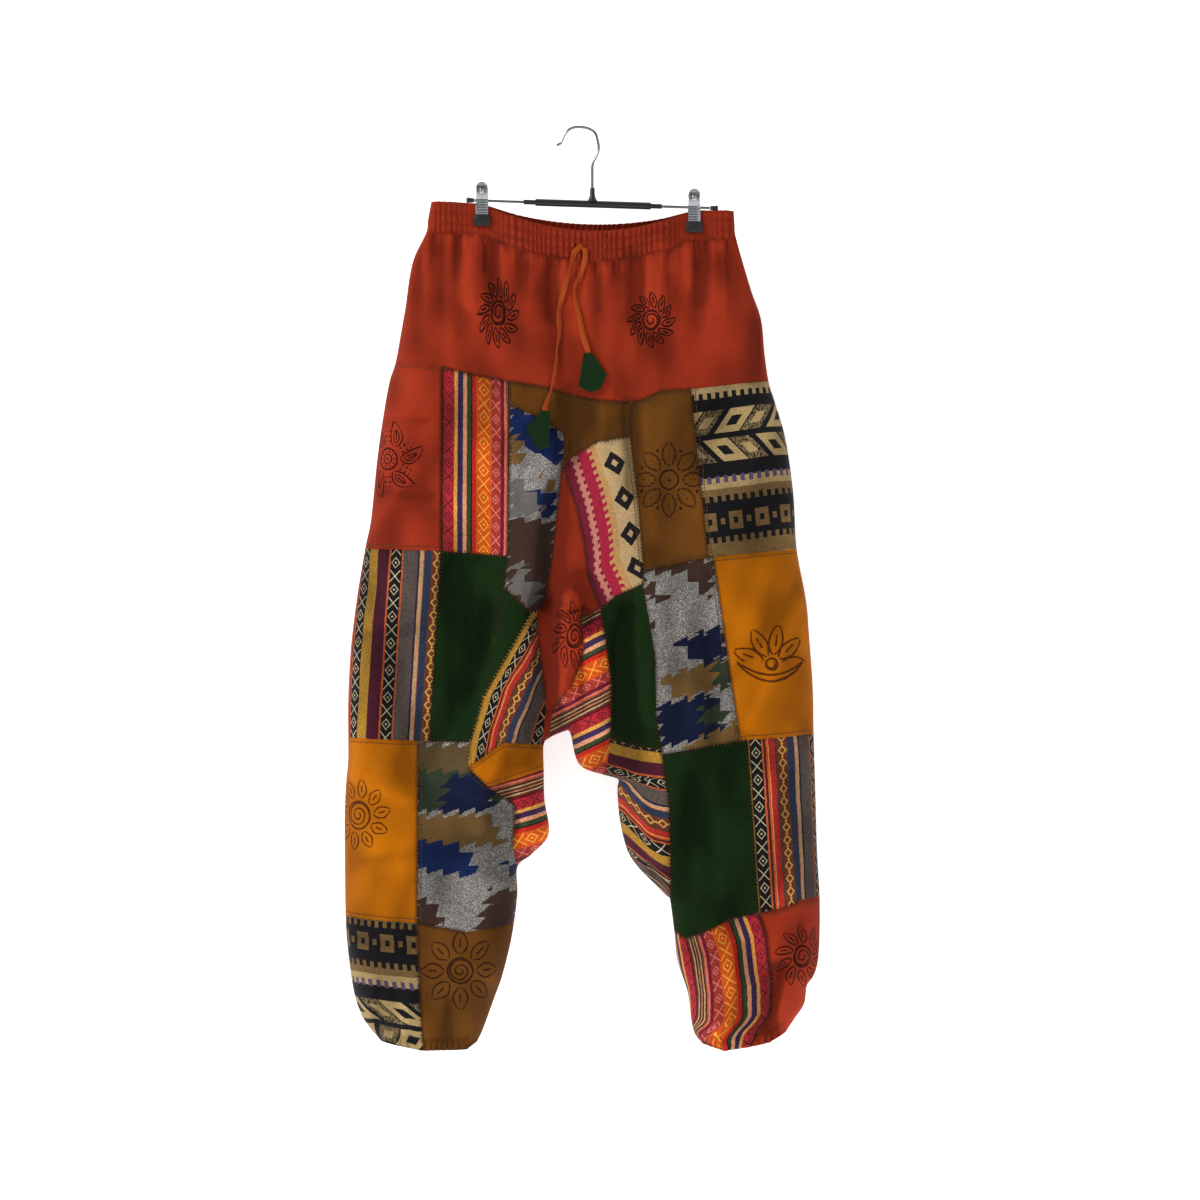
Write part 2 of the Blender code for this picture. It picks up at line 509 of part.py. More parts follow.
def waist_columns():
    """Shares of the waist's width: close at its ends and beside each clip, even between."""
    left, right = BAND_TOP[0][0], BAND_TOP[1][0]
    x = [left + d for d in (0, 1.2, 5, 12, 22)] + [right - d for d in (0, 1.2, 5, 12)]
    for clip in CLIP_ACROSS:
        x += [clip + side * d for side in (-1, 1) for d in (12, 26)]
    x += list(np.linspace(CLIP_ACROSS[0] + 44, CLIP_ACROSS[1] - 44, 8))
    return (np.array(sorted(x)) - left) / (right - left)


def waist_piece(layer, finish):
    """Half of the waistband, its elastic channels standing out as ridges."""
    v = np.linspace(0, 1, 2 * CHANNELS + 1)
    left, right = (at_lengths(side, v * length_of(side)) for side in
                   (along_outline(line[0], line[2]) for line in (OUTER_LEFT, OUTER_RIGHT)))
    flat = []
    for share, (x0, z0), (x1, z1) in zip(v, left, right):
        x = x0 + (x1 - x0) * waist_columns()
        top, bottom = (band_line(x, ends, BAND_SAG[layer]) for ends in (BAND_TOP, BAND_BOTTOM))
        drop = top + (bottom - top) * share
        drop[0], drop[-1] = z0, z1
        flat.append(np.column_stack([x, drop]))
    return wall(f"waistband_{layer}", np.array(flat), layer, finish)


def yoke(layer, seam, finish):
    """The plain cloth between the waistband and the patchwork."""
    u = waist_columns()
    left = along_outline(OUTER_LEFT[2], PLACES["a0"])
    right = along_outline(OUTER_RIGHT[2], PLACES["f0"])
    bottom, stops = side_line(seam)
    x = OUTER_LEFT[2][0] + (OUTER_RIGHT[2][0] - OUTER_LEFT[2][0]) * u
    top = np.column_stack([x, band_line(x, BAND_BOTTOM, BAND_SAG[layer])])
    top[0], top[-1] = OUTER_LEFT[2], OUTER_RIGHT[2]
    low = at_lengths(bottom, u * length_of(bottom), stops)
    flat = filled(top, spaced(right, (), YOKE_ROWS, False, False), low,
                  spaced(left, (), YOKE_ROWS, False, False))
    return wall(f"yoke_{layer}", flat, layer, finish)


def cord(name, points, radius, finish):
    """A round wire or string through (across, out, drop) points, with closed ends."""
    curve = bpy.data.curves.new(name, "CURVE")
    curve.dimensions = "3D"
    curve.bevel_depth = radius * MM
    curve.bevel_resolution = 2
    curve.use_fill_caps = True
    line = curve.splines.new("POLY")
    line.points.add(len(points) - 1)
    for point, place in zip(line.points, points):
        point.co = (place[0] * MM, place[1] * MM, -place[2] * MM, 1)
    return add_object(name, curve, finish)


def front_depth(flat, reach):
    """The foremost depth of the front cloth within a reach of each (across, drop)."""
    shifts = [(dx, dz) for dx in (-reach, 0, reach) for dz in (-reach, 0, reach)]
    return np.min([cloth_points(flat + np.array(s), "front")[0][:, 1] for s in shifts], axis=0)


def string_route(points, tag_depth):
    """A drawstring's line: smooth, on the front cloth, and out to the tag's plane at its end."""
    flat = spline(points, 3)
    depth = front_depth(flat, STRING_REACH) - STRING_CLEAR
    share = np.clip(np.linspace(-1.2, 1, len(flat)), 0, 1)
    depth = depth + (tag_depth - depth) * share * share * (3 - 2 * share)
    return np.column_stack([flat[:, 0], depth, flat[:, 1]])


def tag_plane(outline):
    """The depth of a tag's middle, just in front of the cloth behind it."""
    return front_depth(np.array(outline, float), STRING_REACH).min() - TAG_CLEAR


def tag(name, outline, finish):
    """A flat kite-shaped cloth tag on the end of a drawstring."""
    centre = np.mean(outline, axis=0)
    curve = bpy.data.curves.new(name, "CURVE")
    curve.dimensions = "2D"
    curve.fill_mode = "BOTH"
    curve.extrude = TAG_THICK / 2 * MM
    line = curve.splines.new("POLY")
    line.points.add(len(outline) - 1)
    for point, (x, z) in zip(line.points, outline):
        point.co = ((x - centre[0]) * MM, (centre[1] - z) * MM, 0, 1)
    line.use_cyclic_u = True
    made = add_object(name, curve, finish)
    made.location = (centre[0] * MM, tag_plane(outline) * MM, -centre[1] * MM)
    made.rotation_euler = (pi / 2, 0, 0)
    return made


def turned(name, profile, finish, start, way, where=None):
    """A turned piece from (along, radius) pairs, from (across, drop) along a direction."""
    mesh = bmesh.new()
    ring = [mesh.verts.new((r * MM, 0, along * MM)) for along, r in profile]
    hollow = all(r > 0 for along, r in profile)
    for a, b in zip(ring, ring[1:] + (ring[:1] if hollow else [])):
        mesh.edges.new((a, b))
    bmesh.ops.spin(
        mesh, geom=mesh.verts[:] + mesh.edges[:], cent=(0, 0, 0), axis=(0, 0, 1), angle=2 * pi,
        steps=ROUND_STEPS, use_merge=True,
    )
    bmesh.ops.remove_doubles(mesh, verts=mesh.verts, dist=1e-6)
    bmesh.ops.recalc_face_normals(mesh, faces=mesh.faces)
    data = bpy.data.meshes.new(name)
    mesh.to_mesh(data)
    mesh.free()
    data.shade_smooth()
    made = add_object(name, data, finish)
    if where:
        parts.objects.unlink(made)
        where.objects.link(made)
    turn = Vector(way).to_track_quat("Z", "Y").to_matrix().to_4x4()
    made.matrix_world = Matrix.Translation((start[0] * MM, 0, -start[1] * MM)) @ turn
    return made


def clip_half(name, across, side, finish):
    """Half of a clip as a loft of flat sections: rounded lever, boss at the bar, broad tip."""
    mesh = bmesh.new()
    rings = []
    for below, half, inner, outer in CLIP_HALF:
        drop = bar_drop(across) + below
        corners = ((-half, inner), (half, inner), (half, outer), (-half, outer))
        rings.append([mesh.verts.new(((across + x) * MM, side * y * MM, -drop * MM))
                      for x, y in corners])
    for upper, lower in zip(rings, rings[1:]):
        for k in range(4):
            mesh.faces.new((upper[k], upper[(k + 1) % 4], lower[(k + 1) % 4], lower[k]))
    mesh.faces.new(rings[0])
    mesh.faces.new(rings[-1])
    bmesh.ops.recalc_face_normals(mesh, faces=mesh.faces)
    bmesh.ops.triangulate(mesh, faces=mesh.faces)
    data = bpy.data.meshes.new(name)
    mesh.to_mesh(data)
    mesh.free()
    return add_object(name, data, finish)


# ---------------------------------------------------------------- the garment
def trousers(finishes):
    """The waistband, the yoke and every patch."""
    for layer, seam in (("front", YOKE_FRONT_SEAM), ("back", YOKE_BACK_SEAM)):
        waist_piece(layer, finishes["rust"])
        yoke(layer, seam, finishes["rust"])
    for layer, patches in (("front", FRONT_PATCHES), ("back", BACK_PATCHES)):
        for name, cloth, *sides in patches:
            cell = FOLD_CELL if is_folded(name) else CELL
            wall(name, patch_grid(sides, cell), layer, finishes[cloth])


def drawstring(finishes):
    """Both free ends of the drawstring, each with its tag."""
    for side, points, outline in (("left", STRING_LEFT, TAG_LEFT),
                                  ("right", STRING_RIGHT, TAG_RIGHT)):
        route = string_route(points, tag_plane(outline))
        cord(f"drawstring_{side}", route, STRING_ROUND / 2, finishes["string"])
        tag(f"tag_{side}", outline, finishes["green"])


def bar_drop(across):
    """The drop of the bar's middle at a place across it."""
    (x0, z0), (x1, z1) = BAR_LINE
    return z0 + (z1 - z0) * (across - x0) / (x1 - x0)


def hanger(chrome, black):
    """The hook, the bar with its sleeve and end knobs, and two clips."""
    cord("hanger_hook", [(x, 0, z) for x, z in spline(HOOK, 3)], WIRE / 2, chrome)
    along = (BAR_LINE[1][0] - BAR_LINE[0][0], 0, BAR_LINE[0][1] - BAR_LINE[1][1])
    back = tuple(-x for x in along)
    left, right = ROD_REACH
    rod = [(0, 0), (0, ROD_WIRE / 2), (right - left, ROD_WIRE / 2), (right - left, 0)]
    turned("hanger_rod", rod, chrome, (left, bar_drop(left)), along)
    a, b, c, d = (x - LINER_REACH[0] for x in (*LINER_REACH, *SLEEVE_REACH))
    bore, liner, sleeve = (x / 2 for x in (BORE, LINER_ACROSS, SLEEVE_ACROSS))
    tube = [(a, bore), (a, liner), (c, liner), (c, sleeve), (d, sleeve), (d, liner), (b, liner),
            (b, bore)]
    body = turned("hanger_sleeve", tube, black, (LINER_REACH[0], bar_drop(LINER_REACH[0])), along)
    neck = turned("neck_join", [(z - NECK[0][0], r) for z, r in NECK], black,
                  (HOOK[-1][0], NECK[0][0]), (0, 0, -1), joins)
    neck.hide_render = True
    neck.display_type = "WIRE"
    join = body.modifiers.new("neck", "BOOLEAN")
    join.operation = "UNION"
    join.solver = "EXACT"
    join.object = neck
    small, large = (x / 2 for x in KNOB_ACROSS)
    knob = [(0, 0), (0, small), (KNOB_LONG - 1, large), (KNOB_LONG, large - 1), (KNOB_LONG, 0)]
    for side, x, way in (("left", left - SEAM_GAP, back), ("right", right + SEAM_GAP, along)):
        turned(f"hanger_knob_{side}", knob, black, (x, bar_drop(x)), way)
    for side, x in zip(("left", "right"), CLIP_ACROSS):
        clip_half(f"clip_{side}_front", x, -1, chrome)
        clip_half(f"clip_{side}_back", x, 1, chrome)


# ---------------------------------------------------------------- the scene
for old in list(bpy.data.objects):
    bpy.data.objects.remove(old)
parts = bpy.data.collections.new("patchwork_harem_trousers_on_clip_hanger")
joins = bpy.data.collections.new("joining_shapes")
for group in (parts, joins):
    bpy.context.scene.collection.children.link(group)
cloth_finishes = {n: material(f"cloth_{n}", c, r) for n, (c, r) in CLOTHS.items()}
trousers(cloth_finishes)
drawstring(cloth_finishes)
hanger(
    material("chrome", (0.8, 0.8, 0.82), 0.15, 1.0),
    material("black_plastic", (0.05, 0.05, 0.055), 0.4),
)
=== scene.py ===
"""Patchwork harem trousers on a clip hanger: the finished look of every piece.

Metres, +Z up, front towards -Y. The tables give millimetres: "across" runs along +X from the
hook's inner top and "drop" runs down from it.
"""

import json
from math import cos, pi, radians, sin

import bmesh
import bpy
import numpy as np
from mathutils import Matrix, Vector


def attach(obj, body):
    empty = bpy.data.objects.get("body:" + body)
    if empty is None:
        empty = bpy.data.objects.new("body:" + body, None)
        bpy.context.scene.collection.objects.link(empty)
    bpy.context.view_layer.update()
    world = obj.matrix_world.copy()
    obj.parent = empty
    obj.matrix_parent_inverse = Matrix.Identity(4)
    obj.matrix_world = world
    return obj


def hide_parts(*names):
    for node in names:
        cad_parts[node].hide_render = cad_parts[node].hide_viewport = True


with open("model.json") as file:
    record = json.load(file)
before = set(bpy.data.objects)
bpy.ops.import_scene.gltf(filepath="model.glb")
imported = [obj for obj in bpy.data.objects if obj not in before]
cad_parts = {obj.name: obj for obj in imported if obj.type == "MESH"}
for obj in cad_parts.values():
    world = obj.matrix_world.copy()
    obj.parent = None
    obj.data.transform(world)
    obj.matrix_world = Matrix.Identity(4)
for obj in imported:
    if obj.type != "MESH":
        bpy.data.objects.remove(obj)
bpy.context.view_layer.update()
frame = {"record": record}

MM = 0.001
WALL_OUT, WALL_IN = 0.8, -0.4  # the cloth's two faces, from the middle of its solid
CELL = 3.3
FINE_CELL = 2.6  # between the legs
WAIST_STEP = 1.5
ROUND_TURN = 4.5  # degrees of the sides' rounding between two grid lines
ROUNDING = tuple(58 * (1 - cos(radians(ROUND_TURN * k))) for k in range(11))

# ---------------------------------------------------------------- the outline of the hung garment
# (across, drop), from the waist down each outer side
OUTER_LEFT = (
    (-172, 87), (-176, 108), (-178, 123), (-192, 152), (-198, 178), (-202, 208), (-208, 243),
    (-214, 276), (-222, 302), (-231, 355), (-237, 402), (-243, 461), (-250, 496), (-260, 556),
    (-267, 615), (-270, 674), (-270, 717), (-270, 745), (-273, 780), (-274, 830), (-273, 926),
    (-270, 970), (-263, 1018), (-254, 1045), (-244, 1060), (-232, 1074),
)
OUTER_RIGHT = (
    (183, 98), (184, 115), (186, 131), (203, 190), (215, 225), (219, 264), (224, 299), (232, 325),
    (244, 367), (253, 430), (257, 496), (268, 556), (272, 603), (276, 660), (277, 713), (279, 780),
    (281, 851), (284, 904), (284, 950), (282, 981), (277, 998), (269, 1010), (266, 1031),
    (255, 1048), (245, 1063),
)
# from the left hem up the inseam, over the crotch and down to the right hem
INSEAM = (
    (-119, 1075), (-112, 1060), (-99, 1024), (-90, 999), (-81, 964), (-76, 936), (-72, 902),
    (-72, 870), (-54, 854), (-35, 831), (-40, 792), (-41, 755), (-41, 726), (-34, 718),
    (-19, 711), (-9, 711), (-2, 741), (8, 754), (33, 762), (48, 767), (47, 780), (50, 815),
    (59, 851), (73, 872), (91, 890), (105, 904), (109, 908), (114, 945), (118, 981), (130, 1018),
    (134, 1049), (138, 1066), (146, 1077),
)
# drop, half the depth front to back, width over which the sides round in
FULLNESS = (
    (85, 12, 14), (131, 14, 18), (200, 22, 34), (276, 29, 46), (400, 35, 54), (560, 39, 58),
    (720, 41, 60), (900, 43, 60), (1000, 43, 58), (1045, 36, 52), (1083, 25, 44),
)

# ---------------------------------------------------------------- the waist
CLIP_ACROSS = (-113, 137)
BAND_TOP = ((-172, 87), (183, 98))
BAND_BOTTOM = ((-178, 123), (186, 131))
BAND_SAG = {"front": 30, "back": 19}  # between the clips
PINCHED = 1.45  # half the depth of the band under a clip
PINCH_REACH = 30
PINCH_FLAT = 4  # the power that keeps the band flat under a clip
MOUTH_END = 6  # half the depth past the clips
CHANNELS = 3
CHANNEL_RIDGE = 2.2  # how far the elastic channels stand out

# ---------------------------------------------------------------- folds
# across and drop of both ends, half width, height (+ stands out, - lies in)
FRONT_FOLDS = (
    (-123, 140, -123, 205, 10, 5), (-98, 140, -96, 215, 10, -5), (-32, 160, -30, 220, 10, -4),
    (-2, 165, 4, 235, 12, 5), (62, 155, 63, 225, 11, -4), (95, 150, 95, 230, 12, 5),
    (144, 145, 144, 200, 10, -4),
    (-10, 320, -12, 385, 14, -6), (62, 330, 66, 430, 10, -5),
    (-28, 430, -40, 560, 15, -12), (-41, 560, -39, 705, 16, -14),
    (-8, 555, -14, 665, 11, 10), (8, 535, 14, 575, 12, -9),
    (-62, 430, -76, 545, 32, 7), (35, 400, 46, 520, 26, 5),
    (-78, 610, -122, 735, 24, 15), (-106, 560, -124, 700, 16, -6),
    (18, 610, 20, 700, 14, 9), (80, 545, 86, 690, 12, 8), (56, 570, 62, 700, 14, -6),
    (-60, 770, -50, 830, 14, 8), (-88, 800, -90, 870, 16, -7),
    (62, 780, 84, 850, 16, 7), (236, 985, 222, 1052, 9, -8), (252, 1010, 246, 1040, 12, 6),
)
BACK_FOLDS = (
    (-118, 140, -116, 205, 11, 5), (-70, 145, -68, 215, 11, -5), (-20, 150, -20, 225, 12, 5),
    (40, 150, 42, 215, 11, -5), (92, 145, 92, 225, 12, 5), (140, 145, 140, 205, 10, -4),
    (-150, 330, -95, 470, 26, -5), (160, 330, 110, 470, 26, -5),
    (-95, 430, -30, 690, 30, 9), (105, 430, 40, 700, 30, 9),
    (5, 420, 2, 690, 22, -10), (-130, 620, -110, 760, 20, -6), (130, 640, 112, 780, 20, -6),
)

# ---------------------------------------------------------------- corners of the patchwork
# a..c across the left leg and d..f across the right one; 0 is the yoke seam and 4 the hem
PLACES = {
    "a0": (-214, 276), "b0": (-159, 284), "y1": (-116, 294), "c0": (-79, 301),
    "y2": (-34, 308), "y3": (-4, 317), "y4": (26, 323), "y5": (64, 325), "y6": (79, 321),
    "y7": (97, 312), "e0": (132, 310), "f0": (224, 299),
    "a1": (-250, 496), "b1": (-160, 499), "c1": (-81, 505),
    "a2": (-270, 717), "b2": (-186, 720), "b2_low": (-173, 721), "c2": (-123, 721),
    "a3": (-273, 926), "b3": (-187, 932), "z3": (-130, 942), "c3": (-76, 936),
    "a4": (-232, 1074), "b4": (-181, 1083), "h1": (-130, 1083), "c4": (-119, 1075),
    "d1": (77, 522), "e1": (152, 507), "e1_low": (158, 506), "f1": (257, 496),
    "d2": (98, 736), "e2": (189, 720), "e2_low": (198, 719), "f2": (277, 713),
    "r1": (106, 792), "r2": (108, 850), "s1": (105, 904), "s2": (109, 908),
    "d3": (114, 945), "t1": (126, 952), "t2": (142, 946), "t3": (178, 928), "e3": (211, 920),
    "t4": (239, 915), "t5": (260, 906), "f3": (284, 904),
    "u1": (220, 945), "u2": (226, 1000), "u3": (226, 1038), "u4": (211, 1058),
    "d4": (146, 1077), "h2": (172, 1084), "e4": (204, 1078), "h3": (224, 1074), "f4": (245, 1063),
    "c_top": (-79, 329), "k1": (-45, 343), "k2": (-16, 362), "k3": (-18, 396),
    "k4": (22, 372), "k5": (61, 365),
    "w1": (-18.7, 398), "w2": (-17.3, 398), "w3": (-26, 473), "w4": (-32, 520), "w5": (-38, 555),
    "w6": (-48, 571), "w7": (-44, 620), "w8": (-37, 674), "crotch_left": (-41, 726),
    "crotch_right": (-34, 718), "i1": (0, 452), "i2": (8, 491), "i3": (12, 527), "i4": (27, 566),
    "i5": (45, 551), "i6": (76, 537), "i7": (70, 438),
    "v1": (2, 577), "v2": (8, 612), "v3": (-7, 657), "v4": (-29, 684),
    "g1": (-85, 542), "g2": (-70, 556), "g3": (-54, 573), "g4": (-104.6, 663), "g5": (-108, 669),
    "g6": (-96, 603), "tip": (-127, 750), "l1": (-88, 722), "m1": (-104, 774), "m2": (-73, 795),
    "m3": (-76, 843), "m4": (-72, 870), "m5": (-41, 755), "m6": (-54, 854),
    "o1": (39, 653), "o2": (38, 718), "o3": (67, 726), "o4": (98, 730), "o5": (33, 762),
    "o6": (90, 623), "o7": (91, 689),
    # the back: B is its outer column seam, M its centre seam
    "B0": (-118, 296), "M0": (8, 314), "E0": (122, 308),
    "B1": (-128, 504), "M1": (6, 512), "E1": (142, 503),
    "B2": (-150, 722), "M2": (-19, 711), "E2": (172, 716),
    "B3": (-160, 926), "E3": (192, 916), "B4": (-176, 1083), "E4": (197, 1080),
}

# name, cloth, then each side as places in a row; ">" goes along the outline to the next place
FRONT_PATCHES = (
    ("patch_front_rust_left", "rust", "a0 b0", "b0 b1", "a1 b1", "a0 > a1"),
    ("patch_front_warm_left", "warm", "b0 y1 c0", "c0 c_top c1", "b1 c1", "b0 b1"),
    ("patch_front_dark_left", "dark", "a1 b1", "b1 b2_low", "a2 b2 b2_low", "a1 > a2"),
    ("patch_front_green_left", "green", "b1 c1", "c1 g1 g6 g5 c2", "b2_low c2", "b1 b2_low"),
    ("patch_front_mustard_left", "mustard", "a2 b2", "b2 b3", "a3 b3", "a2 > a3"),
    ("patch_front_zigzag_left", "zigzag", "b2 b2_low c2", "c2 tip m1 m2 m3 m4 > c3",
     "b3 z3 c3", "b2 b3"),
    ("patch_front_ikat_left", "ikat", "a3 b3", "b3 b4", "a4 b4", "a3 > a4"),
    ("patch_front_olive_left", "olive", "b3 z3 c3", "c3 > c4", "b4 h1 c4", "b3 b4"),
    ("gusset_olive_centre", "olive", "c0 y2 y3 y4 y5", "y5 k5", "c_top k1 k2 k3 k4 k5", "c0 c_top"),
    ("gusset_zigzag", "zigzag", "c_top k1 k2", "k2 k3 w1 w3 w4 w5 w6", "g1 g2 g3 w6",
     "c_top c1 g1"),
    ("gusset_green_left", "green", "g1 g2 g3", "g3 g4", "g5 g4", "g1 g6 g5"),
    ("gusset_dark_fold", "dark", "g3 w6", "w6 w7 w8 crotch_left", "tip l1 crotch_left",
     "g3 g5 c2 tip"),
    ("gusset_rust", "rust", "w1 w2", "w2 i1 i2 i3 i4 v1 v2 v3 v4 crotch_right",
     "crotch_left > crotch_right", "w1 w3 w4 w5 w6 w7 w8 crotch_left"),
    ("gusset_ikat", "ikat_red", "k3 k4 k5", "k5 i7 d1 i6", "i4 i5 i6", "k3 w2 i1 i2 i3 i4"),
    ("gusset_green_right", "green", "i4 i5 i6", "i6 o6 o7 o4", "o2 o3 o4", "i4 o1 o2"),
    ("gusset_warm", "warm", "v1 i4", "i4 o1 o2 o5", "crotch_right > o5",
     "v1 v2 v3 v4 crotch_right"),
    ("inseam_mustard_left", "mustard", "tip l1 crotch_left", "crotch_left > m5", "m1 m5",
     "tip m1"),
    ("inseam_warm_left", "warm", "m1 m5", "m5 > m6", "m4 > m6", "m1 m2 m3 m4"),
    ("inseam_dark_right", "dark", "o2 o3 o4", "o4 d2 r1 r2 s2", "s1 > s2", "o2 o5 > s1"),
    ("patch_front_olive_right", "olive", "y5 y6 y7 e0", "e0 e1", "d1 e1", "y5 k5 i7 d1"),
    ("patch_front_ikat_right", "ikat", "e0 f0", "f0 > f1", "e1 e1_low f1", "e0 e1"),
    ("patch_front_zigzag_right", "zigzag", "d1 e1 e1_low", "e1_low e2", "d2 e2",
     "d1 i6 o6 o7 o4 d2"),
    ("patch_front_mustard_right", "mustard", "e1_low f1", "f1 > f2", "e2 e2_low f2", "e1_low e2"),
    ("patch_front_green_right", "green", "d2 e2 e2_low", "e2_low e3", "d3 t1 t2 t3 e3",
     "d2 r1 r2 s2 > d3"),
    ("patch_front_dark_right", "dark", "e2_low f2", "f2 > f3", "e3 t4 t5 f3", "e2_low e3"),
    ("patch_front_warm_right", "warm", "d3 t1 t2 t3 e3", "e3 u1 u2 u3 u4 e4", "d4 h2 e4",
     "d3 > d4"),
    ("patch_front_rust_right", "rust", "e3 t4 t5 f3", "f3 > f4", "e4 h3 f4",
     "e3 u1 u2 u3 u4 e4"),
)
BACK_PATCHES = (
    ("patch_back_mustard_left", "mustard", "a0 B0", "B0 B1", "a1 B1", "a0 > a1"),
    ("patch_back_zigzag_left", "zigzag", "B0 M0", "M0 M1", "B1 M1", "B0 B1"),
    ("patch_back_dark_left", "dark", "a1 B1", "B1 B2", "a2 B2", "a1 > a2"),
    ("patch_back_rust_left", "rust", "B1 M1", "M1 M2", "B2 crotch_left > M2", "B1 B2"),
    ("patch_back_green_left", "green", "a2 B2", "B2 B3", "a3 B3", "a2 > a3"),
    ("patch_back_warm_left", "warm", "B2 crotch_left", "crotch_left > c3", "B3 c3", "B2 B3"),
    ("patch_back_ikat_left", "ikat", "a3 B3", "B3 B4", "a4 B4", "a3 > a4"),
    ("patch_back_mustard_hem_left", "mustard", "B3 c3", "c3 > c4", "B4 h1 c4", "B3 B4"),
    ("patch_back_warm_right", "warm", "E0 f0", "f0 > f1", "E1 f1", "E0 E1"),
    ("patch_back_olive_right", "olive", "M0 E0", "E0 E1", "M1 E1", "M0 M1"),
    ("patch_back_green_right", "green", "E1 f1", "f1 > f2", "E2 f2", "E1 E2"),
    ("patch_back_ikat_right", "ikat", "M1 E1", "E1 E2", "o5 E2", "M1 M2 > o5"),
    ("patch_back_rust_right", "rust", "E2 f2", "f2 > f3", "E3 f3", "E2 E3"),
    ("patch_back_dark_right", "dark", "o5 E2", "E2 E3", "d3 E3", "o5 > d3"),
    ("patch_back_olive_hem_right", "olive", "E3 f3", "f3 > f4", "E4 h3 f4", "E3 E4"),
    ("patch_back_zigzag_hem_right", "zigzag", "d3 E3", "E3 E4", "d4 h2 E4", "d3 > d4"),
)
YOKE_BACK_SEAM = "a0 B0 M0 E0 f0"
YOKE_FRONT_SEAM = "a0 b0 y1 c0 y2 y3 y4 y5 y6 y7 e0 f0"

# ---------------------------------------------------------------- the drawstring and its tags
STRING_LEFT = (
    (5, 140), (-4, 149), (-9, 169), (-14, 186), (-19, 204), (-22, 222), (-21, 241), (-24, 262),
    (-25, 278), (-30, 308), (-35, 322), (-37.5, 331), (-37.6, 335.4),
)
STRING_RIGHT = (
    (8, 143), (9, 153), (6, 166), (2, 178), (-3, 190), (-2, 204), (2, 225), (5, 242), (9, 256),
    (11.8, 264), (12, 267.4),
)
STRING_REACH = 9.0  # the cloth this near holds the string out
TAG_LEFT = ((-42, 336), (-32, 336), (-33, 377), (-47, 382), (-60, 355))
TAG_RIGHT = ((7, 268), (17, 268), (34, 294), (26, 310), (15, 314), (1, 307))
TAG_CLEAR = 3.4  # from the cloth's middle to the tag's


# ---------------------------------------------------------------- lines
def spline(points, steps=6):
    """A smooth line through the points, as an array that keeps every one of them."""
    p = np.array(points, float)
    ends = np.vstack([2 * p[0] - p[1], p, 2 * p[-1] - p[-2]])
    out = []
    for k in range(1, len(ends) - 2):
        a, b, c, d = ends[k - 1 : k + 3]
        for t in np.arange(steps) / steps:
            out.append(
                0.5 * (2 * b + (c - a) * t + (2 * a - 5 * b + 4 * c - d) * t**2
                       + (3 * b - a - 3 * c + d) * t**3)
            )
    return np.array(out + [p[-1]])


OUTLINES = [spline(line) for line in (OUTER_LEFT, OUTER_RIGHT, INSEAM)]
INWARD = (1, -1, -1)  # which side of each outline holds the cloth


def along_outline(a, b):
    """The stretch of an outline between two places on it, both included."""
    for line in OUTLINES:
        gaps = [np.linalg.norm(line - np.array(p), axis=1) for p in (a, b)]
        if gaps[0].min() < 0.1 and gaps[1].min() < 0.1:
            i, j = gaps[0].argmin(), gaps[1].argmin()
            return line[i : j + 1] if i < j else line[j : i + 1][::-1]
    raise ValueError(f"no outline joins {a} and {b}")


def side_line(text):
    """A side of a patch from its places: its points, and how far along each inner place lies."""
    words = text.split()
    line = np.array([PLACES[words[0]]], float)
    stops = []
    for before, word in zip(words, words[1:]):
        if word == ">":
            continue
        if before == ">":
            start = words[words.index(word) - 2]
            more = along_outline(PLACES[start], PLACES[word])[1:]
        else:
            more = np.array([PLACES[word]], float)
        line = np.vstack([line, more])
        stops.append(length_of(line))
    return line, stops[:-1]


def length_of(line):
    return np.linalg.norm(np.diff(line, axis=0), axis=1).sum()


def at_lengths(line, want, stops=()):
    """The points that far along the line, the nearest of them moved onto each stop."""
    want = np.array(want, float)
    first, left = 1, len(stops)
    for stop in stops:
        free = want[first : len(want) - left]
        first += int(np.abs(free - stop).argmin())
        want[first] = stop
        first, left = first + 1, left - 1
    at = np.concatenate([[0], np.cumsum(np.linalg.norm(np.diff(line, axis=0), axis=1))])
    return np.column_stack([np.interp(want, at, line[:, k]) for k in (0, 1)])


def spaced(line, stops, count, start, end):
    """Points along a line: close together where it rounds into the garment's edge, even between."""
    long = length_of(line)
    scale = min(1, 0.4 * long / ROUNDING[-1])
    head = [r * scale for r in ROUNDING] if start else [0]
    tail = [long - r * scale for r in ROUNDING[::-1]] if end else [long]
    want = head + list(np.linspace(head[-1], tail[0], count + 1)[1:-1]) + tail
    return at_lengths(line, want, stops)


# ---------------------------------------------------------------- the cloth's form
def to_outline(flat):
    """How far each (across, drop) lies from the nearest outline, and the way inward from it."""
    best = np.full(len(flat), np.inf)
    inward = np.zeros((len(flat), 2))
    for line, hand in zip(OUTLINES, INWARD):
        for a, b in zip(line[:-1], line[1:]):
            step = b - a
            share = np.clip((flat - a) @ step / (step @ step), 0, 1)
            offset = flat - (a + share[:, None] * step)
            gap = np.linalg.norm(offset, axis=1)
            square = hand * np.array([step[1], -step[0]]) / np.linalg.norm(step)
            way = np.where(gap[:, None] > 0.05, offset / np.maximum(gap, 1e-9)[:, None], square)
            near = gap < best - 1e-9
            best[near], inward[near] = gap[near], way[near]
    return best, inward


def band_line(across, ends, sag):
    """The drop of a waistband edge: straight from side to side, with a sag between the clips."""
    (x0, z0), (x1, z1) = ends
    middle, half = sum(CLIP_ACROSS) / 2, (CLIP_ACROSS[1] - CLIP_ACROSS[0]) / 2
    u = np.clip((across - middle) / half, -1, 1)
    return z0 + (z1 - z0) * (across - x0) / (x1 - x0) + sag * (1 - u**2)


